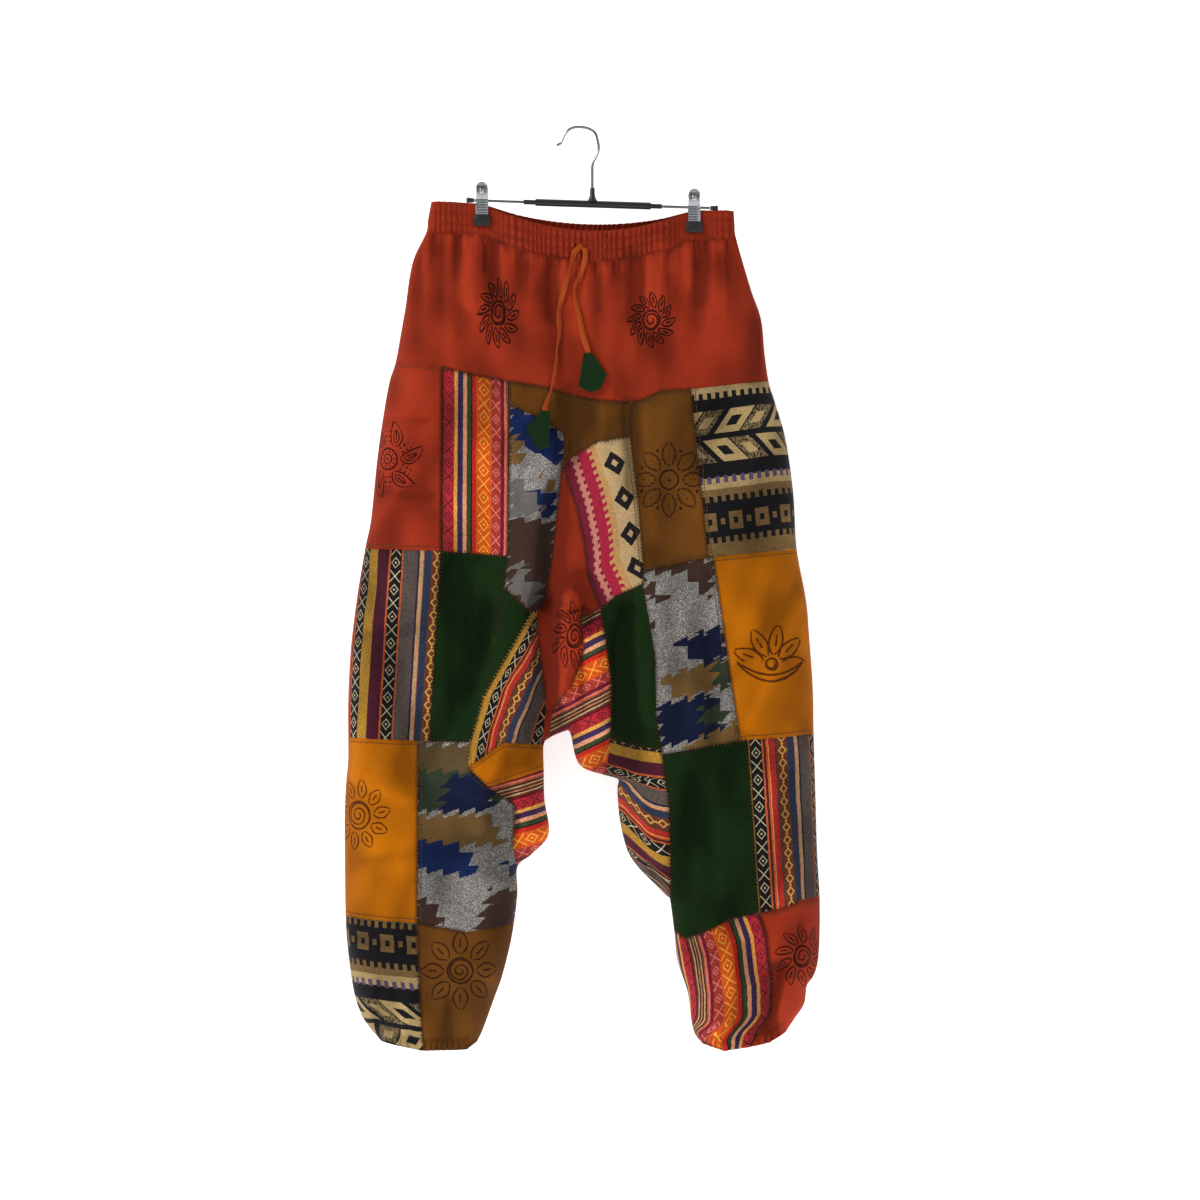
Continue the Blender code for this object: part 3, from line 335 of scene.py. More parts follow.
def ridges(across, drop, folds):
    """The height of some folds: soft ridges and troughs along straight lines."""
    height = np.zeros_like(across)
    for x0, z0, x1, z1, wide, high in folds:
        length = max((x1 - x0) ** 2 + (z1 - z0) ** 2, 1e-9)
        t = np.clip(((across - x0) * (x1 - x0) + (drop - z0) * (z1 - z0)) / length, 0, 1)
        away = np.hypot(across - x0 - t * (x1 - x0), drop - z0 - t * (z1 - z0))
        height = height + high * np.exp(-((away / wide) ** 2))
    return height


def half_depth(across, drop, gap, layer):
    """How far the cloth's middle stands from the garment's middle plane."""
    rows = np.array(FULLNESS, float)
    deep, rounding = (np.interp(drop, rows[:, 0], rows[:, k]) for k in (1, 2))
    body = deep * np.sqrt(1 - (1 - np.clip(gap / rounding, 0, 1)) ** 2)
    pinch = sum(np.exp(-(((across - x) / PINCH_REACH) ** PINCH_FLAT)) for x in CLIP_ACROSS)
    between = (across > CLIP_ACROSS[0]) & (across < CLIP_ACROSS[1])
    deep_waist = np.where(between, FULLNESS[0][1], MOUTH_END)
    waist = (PINCHED + (deep_waist - PINCHED) * (1 - np.clip(pinch, 0, 1))) * np.sqrt(
        1 - (1 - np.clip(gap / FULLNESS[0][2], 0, 1)) ** 2
    )
    top, bottom = (band_line(across, ends, BAND_SAG[layer]) for ends in (BAND_TOP, BAND_BOTTOM))
    channel = np.abs(np.sin(CHANNELS * pi * np.clip((drop - top) / (bottom - top), 0, 1)))
    waist = waist + CHANNEL_RIDGE * channel * (1 - np.clip(pinch, 0, 1)) * np.clip(gap / 6, 0, 1)
    share = np.clip((drop - bottom) / 130, 0, 1)
    share = share * share * (3 - 2 * share)
    fold = ridges(across, drop, FRONT_FOLDS if layer == "front" else BACK_FOLDS)
    clear = np.clip(gap / 30, 0, 1) ** 2
    settled = np.clip((drop - bottom) / 30, 0, 1)
    return (1 - share) * waist + share * body + fold * clear * settled


def filled(top, right, bottom, left):
    """A grid of (across, drop) between four sides, which run rightwards and downwards."""
    u_shares = np.linalg.norm(np.diff(top, axis=0), axis=1) + np.linalg.norm(
        np.diff(bottom, axis=0), axis=1
    )
    u = np.concatenate([[0], np.cumsum(u_shares)]) / u_shares.sum()
    v_shares = np.linalg.norm(np.diff(left, axis=0), axis=1) + np.linalg.norm(
        np.diff(right, axis=0), axis=1
    )
    v = np.concatenate([[0], np.cumsum(v_shares)]) / v_shares.sum()
    u, v = u[None, :, None], v[:, None, None]
    across = (1 - v) * top[None] + v * bottom[None] + (1 - u) * left[:, None] + u * right[:, None]
    corners = (
        (1 - u) * (1 - v) * top[0] + u * (1 - v) * top[-1]
        + (1 - u) * v * bottom[0] + u * v * bottom[-1]
    )
    return across - corners


def on_outline(place):
    """Whether a place lies on the outline of the garment's sides."""
    return to_outline(np.array([place], float))[0][0] < 0.1


def patch_grid(sides, cell):
    """The flat grid of a patch from the text of its four sides: top, right, bottom, left."""
    lines, stops = zip(*(side_line(s) for s in sides))
    long = [length_of(line) for line in lines]
    steps = [
        max(2, len(stops[k]) + 1, len(stops[k + 2]) + 1, round(max(long[k], long[k + 2]) / cell))
        for k in (0, 1)
    ]
    runs = [">" in s for s in sides]
    made = []
    for k, line in enumerate(lines):
        before, after = ((3, 1), (0, 2))[k % 2]
        twins = [lines[j] for j in (k, (k + 2) % 4) if not runs[j]]
        start = runs[before] or any(on_outline(twin[0]) for twin in twins)
        end = runs[after] or any(on_outline(twin[-1]) for twin in twins)
        made.append(spaced(line, stops[k], steps[k % 2], start, end))
    return filled(*made)


# ---------------------------------------------------------------- the cloth's fine relief
# as the folds above, but narrow
FINE_FOLDS = {
    "front": (
        (-198, 168, -182, 131, 5, 2.2), (-206, 208, -206, 262, 2.2, -1.4),
        (211, 225, 211, 278, 2.2, -1.4), (-124, 133, -128, 178, 4, 2.0), (-107, 134, -110, 165, 4, -1.8),
        (-86, 138, -84, 190, 5, 1.8), (-58, 150, -60, 200, 5, -1.4), (-15, 160, -20, 225, 4, 1.6),
        (26, 162, 25, 215, 4, -1.6), (79, 148, 84, 205, 5, 1.8), (100, 142, 104, 180, 4, -1.8),
        (132, 138, 131, 185, 4, 1.8), (144, 136, 146, 172, 4, -1.6),
        (-238, 350, -175, 346, 5, -1.6), (-240, 429, -170, 434, 6, -1.8), (-240, 470, -190, 400, 7, 1.6),
        (-262, 600, -190, 590, 8, -1.6), (-150, 520, -146, 700, 9, -2.4), (-112, 520, -120, 640, 8, 2.4),
        (-60, 360, -66, 440, 7, -2.4), (-36, 372, -44, 450, 6, 2.2), (-10, 330, -8, 380, 6, -2.6),
        (30, 335, 27, 390, 6, 2.4), (56, 340, 58, 420, 6, -2.6), (84, 340, 88, 480, 9, 2.0),
        (-40, 540, -37, 660, 5, -4.0), (-12, 560, -10, 668, 5, 3.0), (-24, 575, -22, 690, 4, -2.8),
        (2, 600, 12, 690, 6, -3.0), (26, 600, 24, 680, 6, 2.6), (44, 590, 42, 700, 7, -2.6),
        (-70, 600, -104, 700, 8, -3.2), (-54, 640, -80, 715, 6, 2.6), (270, 520, 170, 660, 9, -1.8),
        (262, 560, 200, 700, 7, 1.8), (120, 560, 132, 690, 8, 2.0), (150, 600, 156, 720, 7, -2.0),
        (-262, 760, -200, 790, 8, 1.6), (-250, 860, -190, 850, 7, -1.6), (-170, 760, -100, 790, 9, 2.2),
        (-160, 850, -90, 830, 9, -2.4), (-260, 950, -200, 960, 8, -1.6), (-160, 960, -100, 1000, 9, 2.0),
        (-230, 1000, -236, 1050, 6, -2.2), (-200, 1010, -204, 1060, 6, 2.0),
        (-150, 1020, -152, 1065, 6, -2.2),
        (130, 760, 126, 900, 9, -2.2), (160, 770, 168, 890, 10, 2.0), (240, 740, 236, 880, 9, -1.8),
        (150, 980, 160, 1060, 7, 2.0), (190, 960, 186, 1050, 7, -2.4), (262, 930, 250, 1030, 7, -2.0),
        (70, 780, 100, 860, 6, 2.4), (62, 800, 92, 884, 5, -2.4), (-62, 800, -86, 850, 6, -2.4),
    ),
    "back": (
        (-110, 130, -112, 180, 4, 1.8), (-80, 130, -78, 170, 4, -1.6), (-45, 130, -48, 190, 5, 1.8),
        (5, 128, 2, 180, 4, -1.8), (35, 130, 38, 185, 5, 1.8), (75, 130, 72, 175, 4, -1.6),
        (118, 130, 121, 185, 4, 1.8),
    ),
}
GATHER_PITCH = 6.4
# below the waistband: pitch, height, how far down they reach, and a seed
GATHERS = ((6.4, 1.5, 12, 7), (15, 2.0, 34, 8), (31, 2.8, 70, 9))
SEAM_SUNK, SEAM_WIDE = 0.9, 2.0
HEM_CHANNEL = 13  # from the hem up to the row that holds the elastic in


def waves(across, drop, size, seed):
    """Soft uneven waves of about that length, the same on both sides of any seam."""
    total = np.zeros_like(across)
    for turn, phase, stretch in np.random.default_rng(seed).random((6, 3)):
        long = size * (0.7 + 0.8 * stretch)
        along = across * cos(2 * pi * turn) + drop * sin(2 * pi * turn)
        total = total + np.sin(2 * pi * (along / long + phase))
    return total / 3


def gathers(across, drop, pitch, seed):
    """Uneven upright ripples, from -1 to 1."""
    drift = waves(across, drop * 0.25, 7 * pitch, seed)
    return np.sin(2 * pi * (across / pitch + 0.5 * drift)) * (0.75 + 0.25 * waves(across, drop, 30, seed + 1))


def relief(across, drop, gap, seam, hem, layer):
    """What the fine form adds to the depth: creases, ripples, gathers and sunk seams."""
    top, bottom = (band_line(across, ends, BAND_SAG[layer]) for ends in (BAND_TOP, BAND_BOTTOM))
    below = np.maximum(drop - bottom, 0)
    rise = ridges(across, drop, FINE_FOLDS[layer])
    rise = rise + 1.8 * waves(across, drop, 90, 3) + 0.9 * waves(across, drop * 0.8, 34, 4)
    rise = rise * np.clip(below / 20, 0, 1)
    rise = rise - SEAM_SUNK * np.exp(-((seam / SEAM_WIDE) ** 2))
    rise = rise + 0.55 * waves(across, drop, 12, 5) * np.exp(-seam / 5)
    pinch = sum(np.exp(-(((across - x) / PINCH_REACH) ** PINCH_FLAT)) for x in CLIP_ACROSS)
    free = 1 - np.clip(pinch, 0, 1)
    share = np.clip((drop - top) / (bottom - top), 0, 1)
    tunnel = np.abs(np.sin(CHANNELS * pi * share)) ** 0.7
    ruffles = gathers(across, 3 * np.floor(CHANNELS * share), GATHER_PITCH, 7) * tunnel
    rise = rise + 1.9 * ruffles * (below <= 0) * (0.25 + 0.75 * free)
    settled = 1 - np.exp(-below / 2.5)
    for pitch, high, reach, seed in GATHERS:
        rise = rise + high * gathers(across, drop, pitch, seed) * np.exp(-below / reach) * settled
    rise = rise + 1.9 * gathers(across, drop, 7.5, 12) * np.exp(-((hem / 11) ** 2))
    rise = rise - 1.2 * np.exp(-(((hem - HEM_CHANNEL) / 2.2) ** 2))
    return rise * np.clip(gap / 9, 0, 1)


def nearest(spots, lines):
    """How far each (across, drop) lies from the nearest of some straight stretches."""
    best = np.full(len(spots), 999.0)
    for a, b in lines:
        a, b = np.array(a, float), np.array(b, float)
        share = np.clip((spots - a) @ (b - a) / ((b - a) @ (b - a)), 0, 1)
        best = np.minimum(best, np.linalg.norm(spots - a - share[:, None] * (b - a), axis=1))
    return best


HEM_PLACES = "a4 b4 h1 c4 d4 h2 e4 h3 f4".split()


def sewn_and_hemmed(sides):
    """A patch's straight stretches: those sewn to a neighbour, and those of a hem."""
    sewn, hemmed = [], []
    for text in sides:
        words = text.split()
        for a, b in zip(words, words[1:]):
            if ">" not in (a, b):
                (hemmed if a in HEM_PLACES and b in HEM_PLACES else sewn).append((PLACES[a], PLACES[b]))
    return sewn, hemmed


def surface(spots, layer, sewn, hemmed=()):
    """The middle of the cloth at each (across, drop), and how far creases lift it: the height that paints
    shade into troughs and a highlight onto ridges.
    """
    gap, inward = to_outline(spots)
    across, drop = spots.T
    depth = half_depth(across, drop, gap, layer)
    fine = relief(across, drop, gap, nearest(spots, sewn), nearest(spots, hemmed), layer)
    side = -1 if layer == "front" else 1
    # painted shade and highlight: the creases' and folds' height, which the materials turn into darker
    # troughs and lighter ridges
    painted_crease_shade = fine + ridges(across, drop, FRONT_FOLDS if layer == "front" else BACK_FOLDS)
    return np.column_stack([across, side * (depth + fine), -drop]), gap, inward, painted_crease_shade


def outward(middle, gap, inward, layer):
    """The cloth's outward normal at each point of a grid."""
    side = -1 if layer == "front" else 1
    normal = np.cross(np.gradient(middle, axis=1), np.gradient(middle, axis=0)) * side
    rows, columns = middle.shape[:2]
    turning = (gap < 0.02).reshape(rows, columns)
    level = np.column_stack([-inward[:, 0], np.zeros(len(gap)), inward[:, 1]])
    normal[turning] = level.reshape(rows, columns, 3)[turning]
    return normal / np.maximum(np.linalg.norm(normal, axis=2, keepdims=True), 1e-9)


# ---------------------------------------------------------------- making pieces
def piece(name, data, slot, *nodes):
    """Adds an object that rides on the body and stands for the CAD nodes."""
    made = bpy.data.objects.new(name, data)
    bpy.context.scene.collection.objects.link(made)
    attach(made, "root")
    for node in nodes:
        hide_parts(node)
    return made


def running(middle, axis):
    """How far each point of a grid lies along the cloth from its first row or column."""
    steps = np.linalg.norm(np.diff(middle, axis=axis), axis=2)
    start = np.zeros_like(steps[:1] if axis == 0 else steps[:, :1])
    return np.concatenate([start, np.cumsum(steps, axis=axis)], axis=axis)


def cloth_coordinates(middle, flat, lay):
    """Where each point lies on the cloth, in millimetres, from how the pattern is laid."""
    start, shift, turn = lay
    if start == "flat":
        u, v = flat[..., 0], flat[..., 1]
    else:
        u, v = running(middle, 1), running(middle, 0)
        if "right" in start:
            u = u - u[:, -1:]
        if "low" in start:
            v = v - v[-1:]
    a = radians(turn)
    return np.stack([u * cos(a) + v * sin(a) + shift[0], v * cos(a) - u * sin(a) + shift[1]], axis=-1)


def in_prints(middle, flat, prints, corner):
    """Each face corner's place on the nearest print, in metres, measured round the cloth."""
    if not prints:
        return np.full((len(corner), 2), 9.0)
    along = running(middle, 1)
    places = []
    for x, drop, wide, high in prints:
        start = [np.interp(x, row, far) for row, far in zip(flat[..., 0], along)]
        across = (along - np.array(start)[:, None]) / wide
        place = np.stack([across, (flat[..., 1] - drop) / high], axis=-1)
        places.append(place.reshape(-1, 2)[corner].reshape(-1, 4, 2))
    places = np.array(places)
    chosen = np.linalg.norm(places.mean(2), axis=2).argmin(0)
    return places[chosen, np.arange(len(chosen))] * MM


def shell(node, flat, layer, sides, look):
    """A cloth piece: two faces on the fine form at the flat grid, and a rim; sides are its seams."""
    sewn, hemmed = sides
    rows, columns = flat.shape[:2]
    middle, gap, inward, painted_crease_shade = surface(flat.reshape(-1, 2), layer, sewn, hemmed)
    middle = middle.reshape(rows, columns, 3)
    normal = outward(middle, gap, inward, layer)
    skins = [(middle + out * normal).reshape(-1, 3) * MM for out in (WALL_OUT, WALL_IN)]
    count = rows * columns
    index = np.arange(count).reshape(rows, columns)
    a, b, c, d = index[:-1, :-1], index[:-1, 1:], index[1:, 1:], index[1:, :-1]
    outer = np.stack([a, d, c, b], axis=-1).reshape(-1, 4)
    inner = np.stack([a, b, c, d], axis=-1).reshape(-1, 4) + count
    ring = np.concatenate([index[0], index[1:, -1], index[-1, -2::-1], index[-2:0:-1, 0]])
    after = np.roll(ring, -1)
    rim = np.stack([ring, after, after + count, ring + count], axis=-1)
    faces = np.concatenate([outer, inner, rim])
    if layer == "back":
        faces = faces[:, ::-1]
    mesh = bpy.data.meshes.new(f"{node}_cloth")
    mesh.from_pydata(np.concatenate(skins).tolist(), [], faces.tolist())
    # the crease height kept on the mesh for painted shade in troughs and a painted highlight on ridges
    painted_shade_attribute = mesh.attributes.new("painted_crease_shade", "FLOAT", "POINT")
    painted_shade_attribute.data.foreach_set("value", np.tile(painted_crease_shade, 2))
    finish, lay, prints = look
    on_cloth = cloth_coordinates(middle, flat, lay).reshape(-1, 2) * MM
    corner = faces.reshape(-1) % count
    mesh.uv_layers.new(name="Cloth").data.foreach_set("uv", on_cloth[corner].ravel())
    mesh.uv_layers.new(name="Print").data.foreach_set("uv", in_prints(middle, flat, prints, corner).ravel())
    mesh.materials.append(finish)
    mesh.shade_smooth()
    mesh.set_sharp_from_angle(angle=radians(70))
    made = piece(f"{node}_cloth", mesh, slot_of(node), node)
    steps = np.cross(middle[1:, 1:] - middle[:-1, :-1], middle[1:, :-1] - middle[:-1, 1:])
    return made


def slot_of(node):
    """The record's material slot of a node."""
    for part in frame["record"]["subparts"]:
        if part["node"] == node:
            return part["material_slot"]
    raise ValueError(node)


# ---------------------------------------------------------------- arithmetic in shader nodes
class Ink:
    """A number or colour that a material's nodes work out."""

    def __init__(self, tree, socket):
        self.tree, self.socket = tree, socket

    def _node(self, kind, operation, *values):
        node = self.tree.nodes.new(kind)
        node.operation = operation
        for place, value in zip(node.inputs, values):
            if isinstance(value, Ink):
                self.tree.links.new(value.socket, place)
            else:
                place.default_value = value
        return node

    def math(self, operation, *others):
        return Ink(self.tree, self._node("ShaderNodeMath", operation, self, *others).outputs[0])

    def __add__(self, other):
        return self.math("ADD", other)

    def __sub__(self, other):
        return self.math("SUBTRACT", other)

    def __mul__(self, other):
        return self.math("MULTIPLY", other)

    def __truediv__(self, other):
        return self.math("DIVIDE", other)

    def __mod__(self, other):
        return self.math("FLOORED_MODULO", other)

    def __gt__(self, other):
        return self.math("GREATER_THAN", other)

    def __lt__(self, other):
        return self.math("LESS_THAN", other)

    def __abs__(self):
        return self.math("ABSOLUTE")

    __radd__, __rmul__ = __add__, __mul__

    def off(self, other):
        """How far it lies from a number."""
        return abs(self - other)

    def between(self, low, high):
        """1 from low to high, otherwise 0."""
        return self.math("COMPARE", (low + high) / 2, (high - low) / 2)

    def folded(self, period):
        """Distance to the nearest multiple of a period."""
        return self.math("PINGPONG", period / 2)

    def least(self, other):
        return self.math("MINIMUM", other)

    def most(self, other):
        return self.math("MAXIMUM", other)

    def eased(self, low, high):
        """0 below low, 1 above high, smooth between; falls if low is above high."""
        node = self.tree.nodes.new("ShaderNodeMapRange")
        node.interpolation_type = "SMOOTHSTEP"
        self.tree.links.new(self.socket, node.inputs[0])
        node.inputs[1].default_value, node.inputs[2].default_value = low, high
        return Ink(self.tree, node.outputs[0])


def linear(colour):
    """Linear RGBA from an 8-bit sRGB colour."""
    parts = [c / 255 for c in colour]
    return (*(c / 12.92 if c <= 0.04045 else ((c + 0.055) / 1.055) ** 2.4 for c in parts), 1)


class Palette:
    """A new material's nodes, with the cloth's own coordinates u and v in millimetres."""

    def __init__(self, name, solid=False):
        self.material = bpy.data.materials.new(name)
        self.material.use_nodes = True
        self.tree = self.material.node_tree
        self.shader = self.tree.nodes["Principled BSDF"]
        self.solid = solid
        self.u, self.v = self.in_space() if solid else self.coordinates("Cloth")
        self.seed = 0.0

    def in_space(self):
        """Coordinates across and down an object that isn't laid flat."""
        node = self.tree.nodes.new("ShaderNodeTexCoord")
        split = self.tree.nodes.new("ShaderNodeSeparateXYZ")
        self.tree.links.new(node.outputs["Object"], split.inputs[0])
        across, deep, up = (Ink(self.tree, split.outputs[k]) * 1000 for k in range(3))
        return across + deep * 0.7, up - deep * 0.3

    def coordinates(self, name):
        node = self.tree.nodes.new("ShaderNodeUVMap")
        node.uv_map = name
        split = self.tree.nodes.new("ShaderNodeSeparateXYZ")
        self.tree.links.new(node.outputs[0], split.inputs[0])
        return [Ink(self.tree, split.outputs[k]) * 1000 for k in (0, 1)]

    def vector(self, x, y, z=0.0):
        node = self.tree.nodes.new("ShaderNodeCombineXYZ")
        for place, value in zip(node.inputs, (x, y, z)):
            if isinstance(value, Ink):
                self.tree.links.new(value.socket, place)
            else:
                place.default_value = value
        return node.outputs[0]

    def noise(self, wide, long=None, detail=1.0):
        """Noise from 0 to 1 with features about that many millimetres across and along."""
        node = self.tree.nodes.new("ShaderNodeTexNoise")
        self.seed += 7.3
        spot = self.vector(self.u / wide, self.v / (long or wide), self.seed)
        self.tree.links.new(spot, node.inputs["Vector"])
        node.inputs["Scale"].default_value = 1.0
        node.inputs["Detail"].default_value = detail
        return Ink(self.tree, node.outputs["Fac"])

    def colour(self, rgb):
        node = self.tree.nodes.new("ShaderNodeRGB")
        node.outputs[0].default_value = linear(rgb)
        return Ink(self.tree, node.outputs[0])

    def blend(self, share, low, high, kind="MIX"):
        """From one colour to another, by a share that may be worked out."""
        node = self.tree.nodes.new("ShaderNodeMix")
        node.data_type, node.blend_type = "RGBA", kind
        for place, value in ((0, share), (6, low), (7, high)):
            if isinstance(value, tuple):
                node.inputs[place].default_value = linear(value)
            elif isinstance(value, Ink):
                self.tree.links.new(value.socket, node.inputs[place])
            else:
                node.inputs[place].default_value = value
        return Ink(self.tree, node.outputs[2])

    def shaded(self, colour, value, low, high):
        """A colour times low to high as a value goes from 0 to 1."""
        grey = self.tree.nodes.new("ShaderNodeMapRange")
        self.tree.links.new(value.socket, grey.inputs[0])
        grey.inputs[1].default_value, grey.inputs[2].default_value = 0.25, 0.75
        grey.inputs[3].default_value, grey.inputs[4].default_value = low, high
        return self.blend(1.0, colour, Ink(self.tree, grey.outputs[0]), "MULTIPLY")

    def stripes(self, place, rows):
        """Bands of colour along a coordinate that repeats: rows of (width, colour)."""
        total = sum(row[0] for row in rows)
        node = self.tree.nodes.new("ShaderNodeValToRGB")
        ramp = node.color_ramp
        ramp.interpolation = "CONSTANT"
        at = 0.0
        for k, row in enumerate(rows):
            stop = ramp.elements[k] if k < 2 else ramp.elements.new(at / total)
            stop.position, stop.color = at / total, linear(row[1])
            at += row[0]
        self.tree.links.new(((place % total) / total).socket, node.inputs[0])
        return Ink(self.tree, node.outputs[0])

    def polygon(self, u, v, corners):
        """Positive inside a convex outline whose corners run clockwise as seen, v downwards."""
        inside = None
        spot = self.vector(u, v, 1.0)
        for (x0, y0), (x1, y1) in zip(corners, corners[1:] + corners[:1]):
            long = ((x1 - x0) ** 2 + (y1 - y0) ** 2) ** 0.5
            a, b = -(y1 - y0) / long, (x1 - x0) / long
            node = self.tree.nodes.new("ShaderNodeVectorMath")
            node.operation = "DOT_PRODUCT"
            self.tree.links.new(spot, node.inputs[0])
            node.inputs[1].default_value = (a, b, -(a * x0 + b * y0))
            edge = Ink(self.tree, node.outputs["Value"])
            inside = edge if inside is None else inside.least(edge)
        return inside

    def finish(self, colour, height, rough=0.9, sheen=0.03, tint=(255, 255, 255), depth=0.3):
        """Joins the colour and a bump of that many millimetres to the shader; on cloth the colour first gets
        painted shade in creases and a painted highlight on ridges.
        """
        links, inputs = self.tree.links, self.shader.inputs
        if not self.solid:
            # painted shade and highlight: colour times 0.5 in deep troughs up to 1.12 on high ridges, by the
            # crease height
            painted_shade_attribute = self.tree.nodes.new("ShaderNodeAttribute")
            painted_shade_attribute.attribute_name = "painted_crease_shade"
            colour = self.shaded(colour, Ink(self.tree, painted_shade_attribute.outputs["Fac"]) * 0.11 + 0.5, 0.5, 1.12)
        links.new(colour.socket, inputs["Base Color"])
        bump = self.tree.nodes.new("ShaderNodeBump")
        bump.inputs["Strength"].default_value = 1.0
        bump.inputs["Distance"].default_value = depth * MM
        links.new(height.socket, bump.inputs["Height"])
        links.new(bump.outputs[0], inputs["Normal"])
        spread = self.noise(18)
        links.new((spread * 0.12 + (rough - 0.06)).socket, inputs["Roughness"])
        inputs["Specular IOR Level"].default_value = 0.06
        inputs["Sheen Weight"].default_value = sheen
        inputs["Sheen Roughness"].default_value = 0.5
        inputs["Sheen Tint"].default_value = linear(tint)
        return self.material


# ---------------------------------------------------------------- cloths
def weave(p, pitch, depth=0.5):
    """A twill's fine diagonal ribs, broken by uneven threads."""
    rib = ((p.u + p.v) % pitch).off(pitch / 2) * (2 / pitch)
    return rib * depth + p.noise(pitch * 0.9, pitch * 1.6, 2.0)


def mottled(p, ground, fleck):
    """A ground colour made a little uneven, as worn cloth is, down to its threads."""
    ground = p.shaded(ground, p.noise(60, 90), 0.9, 1.08)
    ground = p.shaded(ground, p.noise(5, 7, 3.0), 0.95, 1.05)
    return p.shaded(ground, p.noise(0.7, 1.3), 1 - fleck, 1 + fleck)


def leaf(p, along, across, start, tip, wide, line):
    """A leaf's outline and its inner dash: how far along a ray, and how far beside it."""
    share = (along - start) / (tip - start)
    half = (share * pi).math("SINE").most(0.0).math("POWER", 0.8) * (wide / 2)
    edge = abs(across - half) < line / 2
    edge = edge * share.between(0.02, 0.98)
    dash = (across < line / 2) * share.between(0.32, 0.68)
    return edge.most(dash)


def rosette(p, x, y, petals, ring, start, tip, wide, line=1.5, turns=3.0, lean=0.0, half=False):
    """Line art printed from a block: a spiral in a ring, with leaves round it."""
    away = (x * x + y * y).math("SQRT")
    angle = y.math("ARCTAN2", x) + away * lean
    slice_angle = 2 * pi / petals
    beside = (angle + 20 * pi).folded(slice_angle) * away
    ink = leaf(p, away, beside, start, tip, wide, line)
    if half:
        ink = ink * (y < -ring * 0.4)
    rim = away.off(ring) < line * 0.6
    pitch = ring / turns
    coil = (away / pitch - angle / (2 * pi) + 8) % 1.0
    coil = (coil.off(0.5) < 0.5 * line / pitch) * away.between(line, ring - 1)
    return ink.most(rim).most(coil)


def eye_flower(p, x, y, petals, ring, start, tip, wide, line=1.4):
    """A block print with toothed leaves round an eye, and dots between them."""
    away = (x * x + y * y).math("SQRT")
    angle = y.math("ARCTAN2", x) + 20 * pi
    slice_angle = 2 * pi / petals
    beside = angle.folded(slice_angle) * away
    tooth = (away % 6.0) * 0.32
    ink = leaf(p, away, beside + tooth, start, tip, wide + 2, line)
    between = (angle + slice_angle / 2).folded(slice_angle) * away
    dots = ((between * between + (away - (start + tip) / 2 - 6) * (away - (start + tip) / 2 - 6)) < 3.4)
    rim = away.off(ring) < line * 0.6
    eye = (away < 2.2)
    return ink.most(rim).most(dots).most(eye)


def paisleys(p, x, y, petals, ring, start, tip, wide, line=1.6):
    """Hooked drops round a dotted ring, with clusters of dots between them."""
    away = (x * x + y * y).math("SQRT")
    angle = y.math("ARCTAN2", x) + 20 * pi
    slice_angle = 2 * pi / petals
    hooked = angle + (away - start).most(0.0) * (away - start).most(0.0) * 0.00035
    beside = hooked.folded(slice_angle) * away
    ink = leaf(p, away, beside, start, tip, wide, line)
    inner = leaf(p, away, beside, start + 5, tip - 9, wide * 0.45, line * 0.8)
    rims = (away.off(ring) < line * 0.6).most(away.off(ring * 0.45) < line * 0.5).most(away < 1.6)
    beads = ((angle * ring * 0.72).folded(ring * 0.72 * 2 * pi / 10) < 1.0) * (away.off(ring * 0.72) < 1.0)
    between = (angle + slice_angle / 2).folded(slice_angle) * away
    cluster = ((between % 6.0).off(3.0) < 1.3) * ((away % 6.0).off(3.0) < 1.3) * (between < 6.0)
    cluster = cluster * away.between(start + 4, start + 17)
    return ink.most(inner).most(rims).most(beads).most(cluster)


def sprig(p, x, y, line=1.4):
    """A fan of leaves over a curved twig, a plain motif of the block printer's."""
    fan = rosette(p, x, y - 14, 9, 5, 8, 37, 13, line, 1.0, 0.0, True)
    bow = (y - 24 + x * x * 0.012).off(0.0) < line * 0.6
    under = (y - 30 + x * x * 0.017).off(0.0) < line * 0.6
    return fan.most(bow * (abs(x) < 32)).most(under * (abs(x) < 32))


def printed(p, ground, ink, tone, strength=0.95):
    """A block print: worn lines of a dark tone on the ground."""
    worn = p.noise(2.4, 2.4, 3.0).eased(0.26, 0.4) * strength
    return p.blend(ink * worn, ground, tone)


def cotton(name, colour, motif=None, tone=(42, 16, 9), fleck=0.14, pitch=0.8, **finish):
    """Plain cotton, with a block print if one is named."""
    p = Palette(name)
    ground = mottled(p, p.colour(colour), fleck)
    if motif:
        x, y = p.coordinates("Print")
        wobble = (p.noise(9) - 0.5) * 2.2
        ground = printed(p, ground, motif[0](p, x + wobble, y + wobble, *motif[1:]), tone)
    return p.finish(ground, weave(p, pitch), **finish)


def crosses(p, across, along, half, period=31.5, line=1.15):
    """Woven crosses and lozenges by turns down a stripe."""
    near = (along + 1000 * period).folded(period)
    cross = abs(abs(across) * 1.15 - near) < line * 0.75
    cross = cross * (near < half * 1.15 + 0.8)
    far = near * -1.0 + period / 2
    lozenge = abs(abs(across) / (half * 0.86) + far / (half * 1.1) - 1.0) < line * 0.11
    dot = (abs(across) + far) < 1.5
    steps = p.noise(1.1, 1.1).eased(0.3, 0.42)
    return cross.most(lozenge).most(dot) * steps


def lozenges(p, across, along, half):
    """Small lozenges and dots down a stripe."""
    near = (along + 3000).folded(15.0)
    ring = abs(abs(across) / half + near / 5.0 - 1.0) < 0.24
    return ring.most((abs(across) + near * -1.0 + 7.5) < 1.8)


